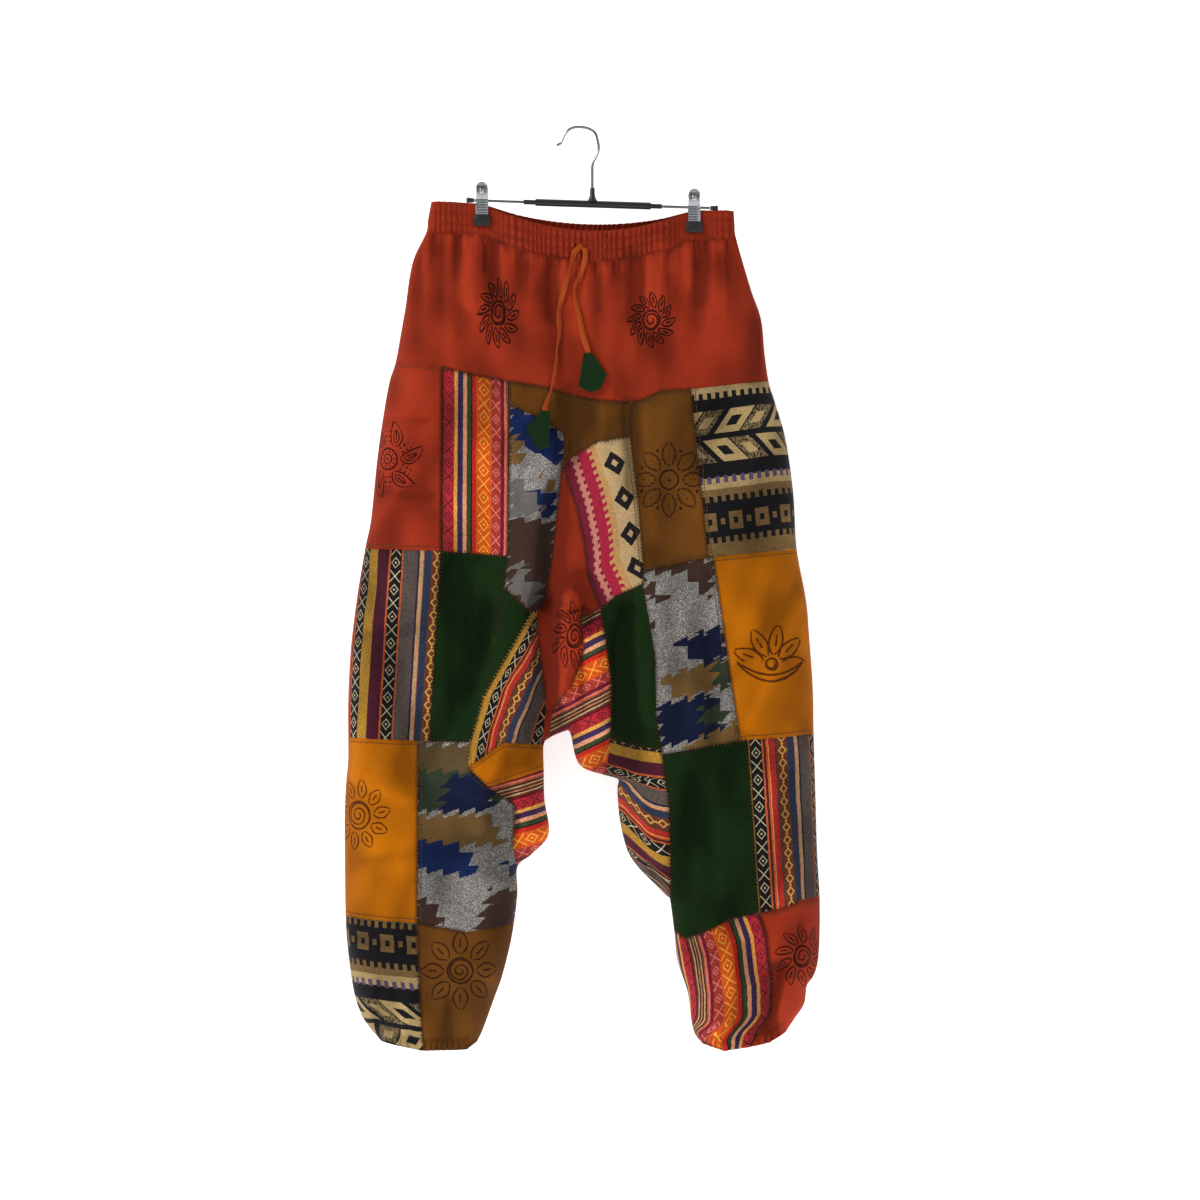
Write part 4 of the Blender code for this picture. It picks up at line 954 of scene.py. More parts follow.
DARK_ROWS = (
    (13.6, (26, 24, 28)), (13, (176, 130, 50)), (15, (78, 28, 44)), (2, (190, 90, 45)),
    (13.6, (26, 24, 28)), (2, (190, 90, 45)), (16.5, (92, 80, 74)), (2.5, (48, 42, 62)),
    (4.3, (196, 155, 108)), (1, (190, 96, 84)), (8, (46, 58, 78)), (14, (112, 58, 44)),
    (1.5, (54, 66, 46)), (7, (188, 48, 44)), (1, (220, 160, 90)), (2.5, (206, 92, 40)),
    (3, (84, 34, 40)), (2, (204, 96, 44)),
)
WARM_ROWS = (
    (3, (112, 22, 30)), (12.5, (186, 44, 54)), (4.2, (232, 166, 78)), (5.5, (66, 42, 80)),
    (1, (84, 100, 120)), (4.2, (238, 160, 118)), (5, (58, 72, 46)), (1.5, (28, 26, 26)),
    (5, (204, 44, 30)), (18, (218, 88, 28)), (11, (166, 58, 48)), (4, (108, 30, 50)),
    (2.5, (222, 110, 84)), (2, (150, 84, 60)), (2, (60, 40, 38)), (2, (196, 150, 104)),
    (2, (70, 48, 42)), (2, (188, 120, 80)), (2, (52, 36, 36)), (2, (200, 160, 110)),
    (2, (84, 56, 48)),
)


def middle_of(rows, k):
    """Where the middle of a stripe lies, and the width of all the stripes."""
    return sum(row[0] for row in rows[:k]) + rows[k][0] / 2, sum(row[0] for row in rows)


def striped(name, rows, motifs, **finish):
    """A coarse striped weave; motifs are (stripe, shape, half width, colour)."""
    p = Palette(name)
    place = p.u + (p.noise(3, 6) - 0.5) * 0.9
    colour = p.stripes(place, rows)
    colour = p.shaded(colour, (p.v % 2.4).off(1.2) * 0.8333, 0.82, 0.94)
    colour = p.shaded(colour, p.noise(0.9, 2.2, 2.0), 0.5, 1.38)
    for k, shape, half, tone in motifs:
        at, total = middle_of(rows, k)
        beside = (p.u + (1000 * total - at + total / 2)) % total - total / 2
        colour = p.blend(shape(p, beside, p.v, half) * (abs(beside) < half + 1), colour, tone)
    return p.finish(colour, p.noise(0.9, 2.0, 2.0) + (p.v % 1.6).off(0.8) * 0.5, depth=0.45, **finish)


def ikat_ground(p, u, v):
    """Toothed bands, squares with dark middles and slanting lozenges, down to 200 mm and again."""
    black, cream, khaki, purple = (22, 21, 24), (172, 146, 100), (118, 92, 56), (86, 70, 100)
    v = v % 200.0
    colour = p.colour(black)
    fray = (p.noise(1.2, 3.0) - 0.5) * 2.4
    tooth = (u + 970).folded(9.8) - 2.4
    for low, high, way, tone in ((0, 14, 1, cream), (119, 135, 1, khaki), (176, 200, -1, khaki)):
        solid = (v + fray).between(low, high - 7) if way > 0 else (v + fray).between(low + 7, high)
        comb = (v + fray).between(low, high) * (tooth < 0.0)
        colour = p.blend(solid.most(comb), colour, tone)
    colour = p.blend((v + fray).between(107, 120), colour, cream)
    colour = p.blend((v + fray).between(105, 113.5) * (tooth > 0.0), colour, purple)
    fuzz = p.noise(1.0, 2.6, 2.0)
    side = (u + 5000) % 61.6
    squares = (side.folded(30.8).off(0.0) < 8 + fray * 0.3) * (abs(v - 158) < 10.5)
    hole = (side.folded(30.8) < 2.6) * (abs(v - 158) < 3.6)
    dot = (side.folded(30.8) > 12.8) * (abs(v - 158) < 3.6)
    colour = p.blend(squares.most(dot), colour, khaki)
    colour = p.blend(hole, colour, black)
    for top, slant, start in ((27.0, 1, 6.0), (61.0, -1, 20.0)):
        row = (v - top) / 29.0
        lean = (row - 0.5) * (slant * 24.0)
        place = (side + lean + start) % 61.6
        inside = row.between(0.03, 0.97)
        ring = place.between(2, 31) * inside
        hollow = place.between(10, 22) * row.between(0.32, 0.7)
        ghost = place.between(33, 56) * inside * fuzz.eased(0.38, 0.62) * 0.62
        light = place.between(39, 50) * row.between(0.3, 0.72)
        colour = p.blend(ghost, colour, cream)
        colour = p.blend((ring + hollow * -1.0).most(0.0), colour, cream)
        colour = p.blend(light * 0.9, colour, cream)
    return colour


def ikat(name):
    """Coarse wool with the ikat's rows."""
    p = Palette(name)
    colour = ikat_ground(p, p.u, p.v)
    colour = p.shaded(colour, p.noise(1.0, 3.2, 2.0), 0.6, 1.32)
    return p.finish(colour, p.noise(1.1, 2.6, 2.0), rough=0.95, sheen=0.08, depth=0.6)


def melange(p, colour, pale):
    """Wool flecked with pale hairs."""
    fleck = p.noise(0.9, 0.9, 2.0)
    ground = p.shaded(colour, p.noise(1.3, 1.3, 2.0), 0.8, 1.2)
    return p.blend(fleck.eased(0.46, 0.66) * 0.62, ground, pale)


WOOL = {
    "grey": (98, 94, 90), "brown": (62, 43, 36), "navy": (18, 36, 80), "tan": (112, 84, 46),
    "moss": (44, 54, 38), "olive": (82, 66, 40), "ink": (16, 24, 50),
}


def blanket(name, base, shapes):
    """Napped wool with stepped blocks: shapes are (colour, convex outline in garment millimetres)."""
    p = Palette(name)
    shift = (p.noise(3, 3, 2.0) - 0.5) * 4.0
    u = p.u + shift + ((p.v + 2000) % 15.0) * 0.9 - 6.0
    v = p.v + shift + ((p.u + 2000) % 19.0) * 0.4 - 4.0
    colour = melange(p, p.colour(WOOL[base]), (214, 210, 204))
    for tone, corners in shapes:
        dyed = p.shaded(p.colour(WOOL[tone]), p.noise(1.2, 1.2, 2.0), 0.6, 1.35)
        colour = p.blend(p.polygon(u, v, corners) > 0.0, colour, dyed)
    colour = p.shaded(colour, p.noise(30, 40), 0.88, 1.1)
    return p.finish(colour, p.noise(1.3, 1.3, 3.0), rough=0.95, sheen=0.1, depth=0.6)


def felt(name, colour):
    """Matted wool for the tags."""
    p = Palette(name, solid=True)
    ground = p.shaded(p.colour(colour), p.noise(2.0, 2.0, 3.0), 0.7, 1.3)
    return p.finish(ground, p.noise(1.2, 1.2, 3.0), rough=0.95, sheen=0.2, depth=0.5)


def hard(name, colour, metallic, rough, ripple):
    """Metal or moulded plastic, handled and a little uneven."""
    p = Palette(name, solid=True)
    ground = p.shaded(p.colour(colour), p.noise(3.0, 9.0, 2.0), 0.86, 1.12)
    p.finish(ground, p.noise(1.5, 5.0, 2.0), rough=rough, sheen=0.0, depth=ripple)
    p.shader.inputs["Metallic"].default_value = metallic
    p.shader.inputs["Specular IOR Level"].default_value = 0.5
    return p.material


def thread(name, colour):
    """Sewing thread, paler and darker by turns."""
    p = Palette(name, solid=True)
    ground = p.shaded(p.colour(colour), p.noise(4.0, 4.0, 2.0), 0.6, 1.4)
    return p.finish(ground, p.noise(0.4, 0.4), rough=0.8, depth=0.1)


def blocks(*shapes):
    return tuple((tone, [tuple(corner) for corner in corners]) for tone, corners in shapes)


ZIGZAG_LEFT = blocks(
    ("olive", ((-190, 724), (-60, 724), (-60, 755), (-190, 755))),
    ("moss", ((-190, 755), (-60, 755), (-60, 785), (-190, 805))),
    ("ink", ((-160, 803), (-150, 760), (-90, 757), (-100, 800))),
    ("tan", ((-190, 808), (-103, 805), (-85, 841), (-190, 841))),
    ("navy", ((-190, 835), (-134, 841), (-112, 878), (-190, 869))),
    ("navy", ((-86, 863), (-70, 864), (-70, 888))),
    ("brown", ((-190, 940), (-190, 905), (-173, 904), (-152, 933))),
    ("brown", ((-78, 942), (-117, 942), (-112, 924), (-98, 893), (-68, 897), (-68, 918))),
)
ZIGZAG_GUSSET = blocks(
    ("navy", ((-13, 367), (-19, 402), (-80, 360), (-81, 329), (-48, 340))),
    ("tan", ((-82, 361), (-67, 363), (-63, 398), (-82, 394))),
    ("brown", ((-84, 460), (-25, 466), (-25, 578), (-84, 578))),
    ("navy", ((-69, 421), (-24, 435), (-27, 466), (-67, 441))),
    ("tan", ((-42, 400), (-24, 429), (-25, 435), (-41, 414))),
    ("grey", ((-76, 515), (-55, 511), (-69, 539))),
    ("grey", ((-40, 536), (-52, 566), (-65, 560), (-84, 537), (-69, 527))),
    ("grey", ((-80, 402), (-39, 448), (-66, 465), (-79, 455))),
)
ZIGZAG_RIGHT = blocks(
    ("brown", ((76, 510), (163, 510), (163, 524), (76, 524))),
    ("brown", ((152, 555), (123, 523), (158, 515), (159, 530))),
    ("brown", ((79, 528), (86, 532), (105, 557), (80, 557))),
    ("brown", ((81, 574), (98, 592), (82, 592))),
    ("ink", ((116, 604), (170, 585), (177, 620), (146, 634))),
    ("tan", ((97, 646), (179, 622), (184, 651), (120, 672))),
    ("moss", ((163, 661), (159, 629), (181, 622), (186, 651))),
    ("ink", ((98, 728), (91, 679), (159, 664), (171, 695), (168, 710))),
    ("moss", ((144, 682), (173, 679), (173, 700), (144, 700))),
    ("tan", ((199, 729), (128, 742), (129, 724), (189, 695))),
)
ZIGZAG_BACK = blocks(
    ("brown", ((-130, 300), (20, 310), (20, 334), (-130, 322))),
    ("navy", ((-130, 345), (-60, 356), (-20, 392), (-130, 378))),
    ("tan", ((-40, 396), (20, 384), (20, 420), (-30, 432))),
    ("ink", ((-130, 430), (-40, 424), (0, 452), (-130, 470))),
    ("brown", ((-60, 486), (20, 478), (20, 516), (-80, 516))),
)
ZIGZAG_HEM = blocks(
    ("tan", ((100, 912), (210, 916), (210, 940), (104, 946))),
    ("navy", ((104, 956), (160, 950), (186, 990), (110, 992))),
    ("moss", ((170, 956), (210, 950), (210, 1000), (186, 1004))),
    ("brown", ((110, 1010), (210, 1016), (210, 1044), (118, 1040))),
    ("ink", ((130, 1052), (210, 1056), (210, 1090), (130, 1090))),
)
DARK_MOTIFS = (
    (0, crosses, 5.6, (188, 176, 140)), (4, crosses, 5.6, (188, 176, 140)),
    (11, lozenges, 4.2, (204, 156, 74)),
)
WARM_MOTIFS = (
    (1, crosses, 5.2, (34, 22, 30)), (9, crosses, 6.4, (236, 170, 60)),
    (10, crosses, 4.6, (224, 120, 110)),
)
RUST, MUSTARD, OLIVE, GREEN = (158, 50, 26), (184, 103, 3), (106, 64, 20), (19, 38, 13)


def red_ikat(name):
    """Bands down the cloth: maroon, pink teeth, crimson, tan, then black flames on cream."""
    p = Palette(name)
    fray = (p.noise(2.6, 1.2) - 0.5) * 3.0
    place = p.u + fray
    comb = ((p.v + 900).folded(9.0) - 2.2) > 0.0
    colour = p.colour((108, 26, 44))
    colour = p.blend(place.between(11, 21) * comb.most(place.between(13, 18)), colour, (178, 112, 98))
    colour = p.blend(place > 21.0, colour, (150, 32, 54))
    colour = p.blend((place > 38.0) + comb * place.between(33, 38), colour, (176, 132, 82))
    colour = p.blend(place > 45.0, colour, (176, 148, 106))
    far = (p.v + 1000) % 42.0 - 21.0
    diamond = (abs(place - 60) / 13 + abs(far) / 15) < 1.0
    hole = (abs(place - 60) / 4 + abs(far) / 5) < 1.0
    colour = p.blend((diamond * (place > 45.0) - hole).most(0.0), colour, (30, 26, 28))
    colour = p.shaded(colour, p.noise(3.2, 1.0, 2.0), 0.74, 1.24)
    return p.finish(colour, p.noise(2.6, 1.1, 2.0), rough=0.95, sheen=0.08, depth=0.5)


def brushed(name, colour, **finish):
    """Soft brushed cotton: a short nap that lies in streaks, and a pale bloom."""
    p = Palette(name)
    ground = mottled(p, p.colour(colour), 0.16)
    ground = p.shaded(ground, p.noise(2.2, 16, 3.0), 0.86, 1.12)
    return p.finish(ground, p.noise(1.0, 5.0, 3.0), tint=(110, 150, 110), **finish)


SUN = (rosette, 12, 9.5, 11.5, 28, 7, 2.0, 2.0, 0.02)
ROSE = (rosette, 10, 16, 20, 42, 13, 2.1, 2.6, 0.004)
STAR = (rosette, 10, 12, 15, 38, 10, 2.1, 2.2, 0.012)
PLAIN_LAY = ("left", (0, 0), 0)
FLAT_LAY = ("flat", (0, 0), 0)
FINISHES = {
    "rust": cotton("cloth_rust", RUST), "mustard": cotton("cloth_mustard", MUSTARD),
    "olive": cotton("cloth_olive", OLIVE), "green": brushed("cloth_green", GREEN, sheen=0.06),
    "rust_suns": cotton("cloth_rust_suns", RUST, SUN),
    "rust_paisley": cotton("cloth_rust_paisley", RUST, (paisleys, 6, 12.4, 16, 46, 16, 2.0)),
    "rust_star": cotton("cloth_rust_star", RUST, STAR),
    "mustard_rose": cotton("cloth_mustard_rose", MUSTARD, ROSE, (84, 40, 8)),
    "mustard_sprig": cotton("cloth_mustard_sprig", MUSTARD, (sprig, 2.0), (84, 40, 8)),
    "olive_rose": cotton("cloth_olive_rose", OLIVE, (rosette, 8, 14.4, 18.6, 47, 17, 2.1, 2.5), (44, 24, 10)),
    "olive_flower": cotton("cloth_olive_flower", OLIVE, (eye_flower, 8, 11, 15, 45, 16, 2.0), (44, 24, 10)),
    "dark": striped("cloth_dark_stripe", DARK_ROWS, DARK_MOTIFS, rough=0.92, sheen=0.06),
    "warm": striped("cloth_warm_stripe", WARM_ROWS, WARM_MOTIFS, rough=0.92, sheen=0.06),
    "ikat": ikat("cloth_ikat"), "ikat_red": red_ikat("cloth_ikat_red"),
    "felt": felt("felt_green", (12, 38, 12)), "thread_brown": thread("thread_brown", (84, 58, 38)),
    "thread_gold": thread("thread_gold", (176, 132, 60)),
    "steel": hard("steel_wire", (120, 122, 126), 1.0, 0.2, 0.05),
    "chrome": hard("chrome_plate", (168, 170, 174), 1.0, 0.24, 0.06),
    "plastic": hard("black_plastic", (20, 20, 22), 0.0, 0.42, 0.08),
    "string": cotton("cloth_string", (186, 80, 32)),
    "zigzag": blanket("cloth_zigzag_left", "grey", ZIGZAG_LEFT),
    "zigzag_gusset": blanket("cloth_zigzag_gusset", "grey", ZIGZAG_GUSSET),
    "zigzag_right": blanket("cloth_zigzag_right", "grey", ZIGZAG_RIGHT),
    "zigzag_back": blanket("cloth_zigzag_back", "grey", ZIGZAG_BACK),
    "zigzag_hem": blanket("cloth_zigzag_hem", "grey", ZIGZAG_HEM),
}


def look(finish, lay=PLAIN_LAY, *prints):
    """How a piece looks: its finish, how its pattern is laid, and its prints."""
    return FINISHES[finish], lay, prints


# node: its finish, how the pattern is laid, and its prints: across, drop and stretch both ways
LOOKS = {
    "waistband_front": look("rust"), "waistband_back": look("rust"),
    "yoke_front": look("rust_suns", PLAIN_LAY, (-93, 219.5, 0.95, 1.55), (86, 228, 1.1, 1.2)),
    "yoke_back": look("rust_suns", PLAIN_LAY, (-90, 222, 1, 1.3), (95, 226, 1, 1.1)),
    "patch_front_rust_left": look("rust_paisley", PLAIN_LAY, (-222, 391, 1, 1)),
    "patch_front_warm_left": look("warm"),
    "patch_front_dark_left": look("dark", ("right", (102, 0), 0)),
    "patch_front_mustard_left": look("mustard_rose", PLAIN_LAY, (-256, 807, 1, 1)),
    "patch_front_ikat_left": look("ikat", ("left", (60, 184.5), 180)),
    "patch_front_olive_left": look("olive_rose", PLAIN_LAY, (-136.7, 987.4, 1, 1)),
    "patch_front_zigzag_left": look("zigzag", FLAT_LAY),
    "gusset_zigzag": look("zigzag_gusset", FLAT_LAY),
    "gusset_dark_fold": look("dark", ("left", (24, 0), 180)),
    "gusset_rust": look("rust_star", PLAIN_LAY, (-4, 598, 0.9, 1.1)),
    "gusset_warm": look("warm", ("flat", (-520, 0), 62)),
    "inseam_warm_left": look("warm", ("flat", (-740, 0), 75)),
    "inseam_dark_right": look("dark", ("left", (10, 0), 90)),
    "patch_front_olive_right": look("olive_flower", PLAIN_LAY, (106.3, 415.6, 1, 1)),
    "patch_front_ikat_right": look("ikat", ("left", (14, 0), 0)),
    "patch_front_zigzag_right": look("zigzag_right", FLAT_LAY),
    "patch_front_mustard_right": look("mustard_sprig", PLAIN_LAY, (226, 613, 1.3, 1.25)),
    "patch_front_dark_right": look("dark", ("left", (15.6, 0), 180)),
    "patch_front_warm_right": look("warm", ("right", (0, 0), 180)),
    "patch_front_rust_right": look("rust_star", PLAIN_LAY, (262, 972, 1, 1)),
    "patch_back_mustard_left": look("mustard_rose", PLAIN_LAY, (-176, 400, 1, 1)),
    "patch_back_zigzag_left": look("zigzag_back", FLAT_LAY),
    "patch_back_dark_left": look("dark", ("left", (10, 0), 0)),
    "patch_back_rust_left": look("rust_paisley", PLAIN_LAY, (-66, 610, 1, 1)),
    "patch_back_warm_left": look("warm", ("left", (4, 0), 0)),
    "patch_back_ikat_left": look("ikat", ("left", (0, 60), 0)),
    "patch_back_mustard_hem_left": look("mustard_rose", PLAIN_LAY, (-122, 1000, 1, 1)),
    "patch_back_warm_right": look("warm", ("left", (0, 0), 180)),
    "patch_back_olive_right": look("olive_flower", PLAIN_LAY, (68, 410, 1, 1)),
    "patch_back_ikat_right": look("ikat", ("left", (20, 10), 0)),
    "patch_back_rust_right": look("rust_star", PLAIN_LAY, (228, 812, 1, 1)),
    "patch_back_dark_right": look("dark", ("left", (40, 0), 0)),
    "patch_back_olive_hem_right": look("olive_rose", PLAIN_LAY, (238, 986, 1, 1)),
    "patch_back_zigzag_hem_right": look("zigzag_hem", FLAT_LAY),
}


# ---------------------------------------------------------------- the trousers
def waist_shares(ends, sag_step):
    """Shares of the waist's width: close at its ends, even between."""
    left, right = ends
    head = [14 * (1 - cos(radians(7.5 * k))) for k in range(8)]
    count = round((right - left - 2 * head[-1]) / sag_step)
    middle = np.linspace(left + head[-1], right - head[-1], count + 1)[1:-1]
    x = np.concatenate([left + np.array(head), middle, right - np.array(head[::-1])])
    return (x - left) / (right - left)


def waistband(layer):
    """Half of the waistband, with its elastic channels."""
    rows = 27
    v = np.linspace(0, 1, rows)
    left, right = (at_lengths(side, v * length_of(side)) for side in
                   (along_outline(line[0], line[2]) for line in (OUTER_LEFT, OUTER_RIGHT)))
    u = waist_shares((BAND_TOP[0][0], BAND_TOP[1][0]), WAIST_STEP)
    flat = []
    for share, (x0, z0), (x1, z1) in zip(v, left, right):
        x = x0 + (x1 - x0) * u
        top, bottom = (band_line(x, ends, BAND_SAG[layer]) for ends in (BAND_TOP, BAND_BOTTOM))
        drop = top + (bottom - top) * share
        drop[0], drop[-1] = z0, z1
        flat.append(np.column_stack([x, drop]))
    flat = np.array(flat)
    line = flat[-1, ::6]
    seams = list(zip(line[:-1], line[1:]))
    return shell(f"waistband_{layer}", flat, layer, (seams, ()), LOOKS[f"waistband_{layer}"])


def yoke(layer, seam):
    """The gathered cloth between the waistband and the patchwork."""
    rows = 52
    u = waist_shares((OUTER_LEFT[2][0], OUTER_RIGHT[2][0]), 1.7)
    left = along_outline(OUTER_LEFT[2], PLACES["a0"])
    right = along_outline(OUTER_RIGHT[2], PLACES["f0"])
    bottom, stops = side_line(seam)
    x = OUTER_LEFT[2][0] + (OUTER_RIGHT[2][0] - OUTER_LEFT[2][0]) * u
    top = np.column_stack([x, band_line(x, BAND_BOTTOM, BAND_SAG[layer])])
    top[0], top[-1] = OUTER_LEFT[2], OUTER_RIGHT[2]
    low = at_lengths(bottom, u * length_of(bottom), stops)
    flat = filled(top, spaced(right, (), rows, False, False), low,
                  spaced(left, (), rows, False, False))
    sewn, hemmed = sewn_and_hemmed([seam])
    line = top[::6]
    sewn += list(zip(line[:-1], line[1:]))
    return shell(f"yoke_{layer}", flat, layer, (sewn, hemmed), LOOKS[f"yoke_{layer}"])


def trousers():
    """The waistband, the yoke and every patch, front and back."""
    for layer, seam in (("front", YOKE_FRONT_SEAM), ("back", YOKE_BACK_SEAM)):
        waistband(layer)
        yoke(layer, seam)
    for layer, patches in (("front", FRONT_PATCHES), ("back", BACK_PATCHES)):
        for name, cloth, *sides in patches:
            cell = FINE_CELL if name.startswith(("gusset", "inseam")) else CELL
            worn = LOOKS.get(name) or look(cloth)
            shell(name, patch_grid(sides, cell), layer, sewn_and_hemmed(sides), worn)


# ---------------------------------------------------------------- sewing
THREAD = 0.5  # half the thread's thickness
FRINGED = ("gusset_dark_fold",)
TOPSTITCHED = ("patch_front_rust_left", "patch_front_mustard_left", "patch_front_mustard_right",
               "gusset_olive_centre", "patch_front_olive_right", "patch_front_rust_right",
               "inseam_mustard_left", "patch_back_rust_left", "patch_back_mustard_left",
               "patch_back_olive_right", "patch_back_rust_right")


def seated(flat, layer, sewn, high):
    """Points that far above the middle of the cloth at each (across, drop)."""
    middle = surface(flat, layer, sewn)[0]
    right, down = (surface(flat + np.array(step), layer, sewn)[0] - middle for step in ((0.4, 0), (0, 0.4)))
    normal = np.cross(right, down) * (1 if layer == "front" else -1)
    normal *= np.where((normal[:, 1] < 0) == (layer == "front"), 1, -1)[:, None]
    normal /= np.linalg.norm(normal, axis=1, keepdims=True)
    return middle + normal * high, normal


def threads(runs, layer, sewn):
    """The points and faces of threads along runs of (across, drop), each lying on the cloth."""
    verts, faces = [], []
    every, normals = seated(np.concatenate(runs), layer, sewn, WALL_OUT + 0.2)
    ends = np.cumsum([len(run) for run in runs])[:-1]
    for run, spots, normal in zip(runs, np.split(every, ends), np.split(normals, ends)):
        along = np.gradient(spots, axis=0)
        side = np.cross(normal, along)
        side /= np.maximum(np.linalg.norm(side, axis=1, keepdims=True), 1e-9)
        first, n = len(verts), len(run)
        for spot, up, out in zip(spots, normal * THREAD, side * THREAD):
            verts += [spot + up, spot + out, spot - up, spot - out]
        faces += [[first + 4 * i + k, first + 4 * i + (k + 1) % 4, first + 4 * i + 4 + (k + 1) % 4,
                   first + 4 * i + 4 + k] for i in range(n - 1) for k in range(4)]
        faces += [[first + k for k in range(4)][::-1], [first + 4 * (n - 1) + k for k in range(4)]]
    return verts, faces


def zigzag(a, b, wide, pitch):
    """An overlock's zigzag over a stretch of seam."""
    a, b = np.array(a, float), np.array(b, float)
    count = max(3, round(2 * np.linalg.norm(b - a) / pitch))
    square = np.array([b[1] - a[1], a[0] - b[0]]) / np.linalg.norm(b - a)
    share = np.linspace(0, 1, count + 1)[:, None]
    sway = np.where(np.arange(count + 1) % 2, 1, -1)[:, None] * wide / 2
    return a + share * (b - a) + square * sway


def dashes(a, b, beside, long=2.6, pitch=3.8):
    """A topstitch's dashes beside a stretch of seam."""
    a, b = np.array(a, float), np.array(b, float)
    total = np.linalg.norm(b - a)
    way = (b - a) / total
    square = np.array([-way[1], way[0]])
    starts = np.arange(1.0, total - long, pitch)
    return [np.array([a + way * t + square * beside for t in (at, at + long)]) for at in starts]


def inside(runs, room):
    """Those runs that keep that far inside the garment's outline."""
    ends = np.cumsum([len(run) for run in runs])[:-1]
    gaps = np.split(to_outline(np.concatenate(runs))[0], ends)
    return [run for run, gap in zip(runs, gaps) if gap.min() > room]


def sew(node, layer, sides):
    """The stitches of a patch: an overlock on its top and left seams, and any topstitch."""
    sewn = [sewn_and_hemmed([side])[0] for side in sides]
    runs = [zigzag(a, b, 5.0, 4.4) for a, b in sewn[0] + sewn[3]]
    if node in TOPSTITCHED:
        for side, hand in zip(sewn, (1, -1, -1, 1)):
            for a, b in side:
                runs += dashes(a, b, hand * 4.5)
    made = inside(runs, 1.0) if runs else []
    if not made:
        return
    verts, faces = threads(made, layer, sum(sewn, []))
    mesh = bpy.data.meshes.new(f"{node}_stitches")
    mesh.from_pydata((np.array(verts) * MM).tolist(), [], faces)
    mesh.materials.append(FINISHES["thread_gold" if node in FRINGED else "thread_brown"])
    piece(f"{node}_stitches", mesh, slot_of(node), node)


def sewing():
    """The stitches of every patch."""
    for layer, patches in (("front", FRONT_PATCHES), ("back", BACK_PATCHES)):
        for name, cloth, *sides in patches:
            sew(name, layer, sides)


# ---------------------------------------------------------------- the hanger
BAR_LINE = ((-131.5, 84.6), (164.7, 94.2))  # the middle of the whole bar
LEAN = ((-21, 8.5), (-2, 4.2))  # drop below the bar, inner depth of the lever


def block(mesh, across, depth, below, soft, index=0):
    """A block with softened edges."""
    size = [high - low for low, high in (across, depth, below)]
    centre = [(low + high) / 2 for low, high in (across, depth, below)]
    made = bmesh.ops.create_cube(mesh, size=1, matrix=Matrix.LocRotScale(Vector(centre), None, Vector(size)))
    faces = {f for v in made["verts"] for f in v.link_faces}
    for f in faces:
        f.material_index = index
    edges = list({e for f in faces for e in f.edges})
    bmesh.ops.bevel(mesh, geom=edges, offset=soft, segments=2, profile=0.5, affect="EDGES",
                     material=index)


def clip_half(name, across, side):
    """Half of a clip: a leaning lever with a rivet, a ribbed body and a black tip."""
    mesh = bmesh.new()
    block(mesh, (-6.6, 6.6), (0, 1.2), (-17, -1), 0.4)
    turn = Matrix.LocRotScale(Vector((0, 0.6, -14.4)), Matrix.Rotation(pi / 2, 3, "X"), None)
    bmesh.ops.create_cone(mesh, segments=40, cap_ends=True, radius1=6.6, radius2=6.6, depth=1.2, matrix=turn)
    squash = Matrix.LocRotScale(Vector((0, 1.2, -10)), None, Vector((1, 0.42, 1)))
    bmesh.ops.create_uvsphere(mesh, u_segments=28, v_segments=16, radius=3.4, matrix=squash)
    (b0, d0), (b1, d1) = LEAN
    for v in mesh.verts:
        v.co.y += d0 + (d1 - d0) * (v.co.z - b0) / (b1 - b0)
    block(mesh, (-7.4, 7.4), (1.9, 5.2), (-2, 1.6), 0.5)
    block(mesh, (-7.0, 7.0), (3.5, 4.5), (1, 17.4), 0.2)
    for k in range(5):
        block(mesh, (-7.5, 7.5), (3.6, 5.5), (2.4 + 3 * k, 4.6 + 3 * k), 0.6)
    block(mesh, (-9.9, 9.9), (3.2, 6.5), (17, 30.2), 1.2, 1)
    (x0, z0), (x1, z1) = BAR_LINE
    bar = z0 + (z1 - z0) * (across - x0) / (x1 - x0)
    for v in mesh.verts:
        v.co = ((across + v.co.x) * MM, side * v.co.y * MM, -(bar + v.co.z) * MM)
    bmesh.ops.recalc_face_normals(mesh, faces=mesh.faces)
    data = bpy.data.meshes.new(f"{name}_detail")
    mesh.to_mesh(data)
    mesh.free()
    data.materials.append(FINISHES["chrome"])
    data.materials.append(FINISHES["plastic"])
    data.shade_smooth()
    data.set_sharp_from_angle(angle=radians(40))
    piece(f"{name}_detail", data, "clip_metal", name)


def hanger():
    """Finishes for the hook and bar, and two detailed clips."""
    for node, finish in (("hanger_hook", "steel"), ("hanger_rod", "steel"), ("hanger_sleeve", "plastic"),
                         ("hanger_knob_left", "plastic"), ("hanger_knob_right", "plastic")):
        made = bpy.data.objects[node]
        for slot in made.material_slots:
            slot.material = FINISHES[finish]
    for side, x in zip(("left", "right"), CLIP_ACROSS):
        clip_half(f"clip_{side}_front", x, -1)
        clip_half(f"clip_{side}_back", x, 1)


# ---------------------------------------------------------------- the drawstring
TAPE_WIDE, TAPE_THICK = 6.5, 1.5
TAPE_CLEAR = 2.6  # from the middle of the cloth to the tape's
TAG_HALF = 1.2  # half of a tag's thickness


def front_depth(flat, reach):
    """The foremost depth of the front cloth within a reach of each (across, drop)."""
    shifts = [(dx, dz) for dx in (-reach, 0, reach) for dz in (-reach, 0, reach)]
    return np.min([surface(flat + np.array(s), "front", ())[0][:, 1] for s in shifts], axis=0)


def tag_plane(outline):
    """The depth of a tag's middle, just in front of the cloth behind it."""
    return front_depth(np.array(outline, float), STRING_REACH).min() - TAG_CLEAR


